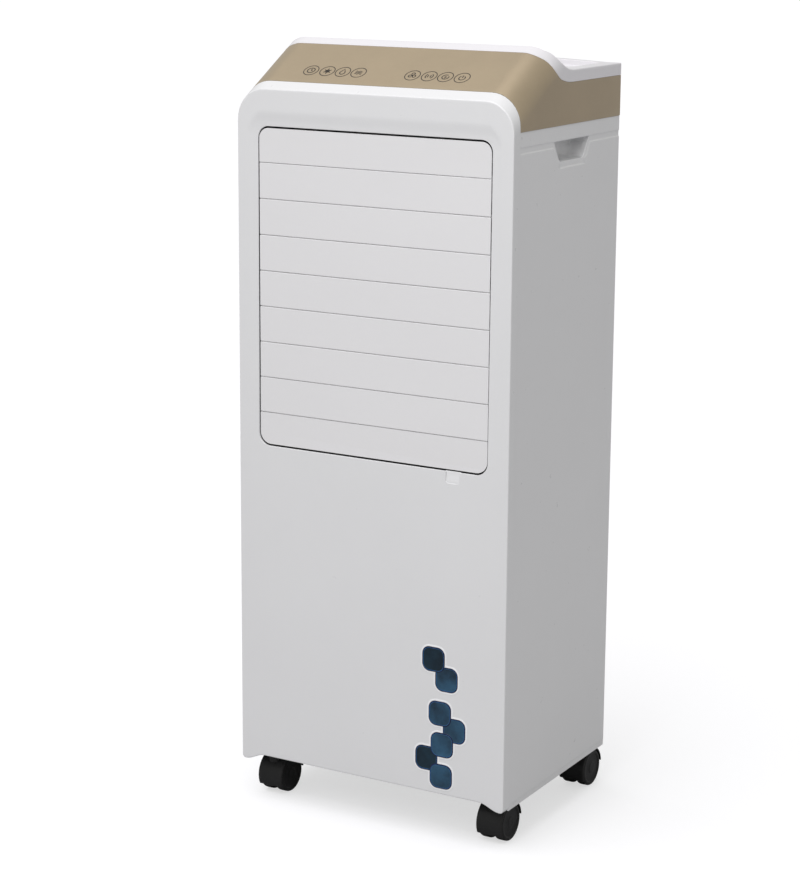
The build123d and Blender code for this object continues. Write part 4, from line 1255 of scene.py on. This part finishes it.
def stage():
    """A pale floor and a plain white surround."""
    mesh = bpy.data.meshes.new("floor")
    r = FLOOR_HALF
    mesh.from_pydata([(-r, -r, 0), (r, -r, 0), (r, r, 0), (-r, r, 0)], [], [(0, 1, 2, 3)])
    paper = finish_of("floor_paper", srgb(176, 176, 178), 0.9, vary=0.006, patch=1.5, grain=300,
                      bump=0.05, edge_scuff_and_sheen=0, specular=0.05)
    # the paper is lit from within for the camera only, so that it stays pale without glaring
    tree = paper.node_tree
    shader = tree.nodes["Principled BSDF"]
    link = tree.links.new
    ray = tree.nodes.new("ShaderNodeLightPath")
    glow = tree.nodes.new("ShaderNodeMath")
    glow.operation = "MULTIPLY"
    glow.inputs[1].default_value = FLOOR_GLOW
    link(ray.outputs["Is Camera Ray"], glow.inputs[0])
    link(glow.outputs[0], shader.inputs["Emission Strength"])
    shader.inputs["Emission Color"].default_value = WHITE
    mesh.materials.append(paper)
    floor = bpy.data.objects.new("floor", mesh)
    add_to_scene(floor)

    world = bpy.data.worlds.new("studio")
    bpy.context.scene.world = world
    world.use_nodes = True
    tree = world.node_tree
    back = tree.nodes["Background"]
    back.inputs["Color"].default_value = WORLD_COLOUR
    back.inputs["Strength"].default_value = WORLD_LIGHT
    seen = node_of(tree, "ShaderNodeBackground", Color=WHITE, Strength=1.0)
    ray = tree.nodes.new("ShaderNodeLightPath")
    mix = tree.nodes.new("ShaderNodeMixShader")
    link = tree.links.new
    link(ray.outputs["Is Camera Ray"], mix.inputs[0])
    link(back.outputs[0], mix.inputs[1])
    link(seen.outputs[0], mix.inputs[2])
    link(mix.outputs[0], tree.nodes["World Output"].inputs["Surface"])


def lamp(name, kind, towards, **settings):
    """A soft light. towards points from the object to the light."""
    light = bpy.data.lights.new(name, kind)
    for key, value in settings.items():
        setattr(light, key, value)
    obj = bpy.data.objects.new(name, light)
    add_to_scene(obj)
    obj.rotation_euler = Vector(towards).to_track_quat("Z", "Y").to_euler()
    return obj


# the photograph's camera: turn, tilt and roll in degrees, lens and shift, and place in metres
CAMERA_TURN = (31.055, 12.588, 0.267)
CAMERA_LENS = 101.1
CAMERA_SHIFT = (0.0277, -0.0056)
CAMERA_PLACE = (1.5693, FRONT * MM - 2.5916, 1.2092)


def camera():
    yaw, pitch, roll = (math.radians(a) for a in CAMERA_TURN)
    look = Vector((-math.sin(yaw) * math.cos(pitch), math.cos(yaw) * math.cos(pitch), -math.sin(pitch)))
    right = Vector((math.cos(yaw), math.sin(yaw), 0))
    up = right.cross(look)
    across = right * math.cos(roll) + up * math.sin(roll)
    upright = up * math.cos(roll) - right * math.sin(roll)
    data = bpy.data.cameras.new("camera")
    data.sensor_width = 36
    data.lens = CAMERA_LENS
    data.shift_x, data.shift_y = CAMERA_SHIFT
    data.clip_end = 50
    obj = bpy.data.objects.new("camera", data)
    add_to_scene(obj)
    matrix = Matrix((across, upright, -look)).transposed().to_4x4()
    matrix.translation = CAMERA_PLACE
    obj.matrix_world = matrix
    bpy.context.scene.camera = obj


stage()
lamp("key", "SUN", SUN_TOWARDS, energy=1.4, color=SUN_COLOUR, angle=SUN_SPREAD)
softbox = lamp("top_front", "AREA", SOFTBOX_PLACE - SOFTBOX_TARGET, energy=9, size=1.0)
softbox.location = SOFTBOX_PLACE
camera()
bpy.context.scene.view_settings.view_transform = "Standard"
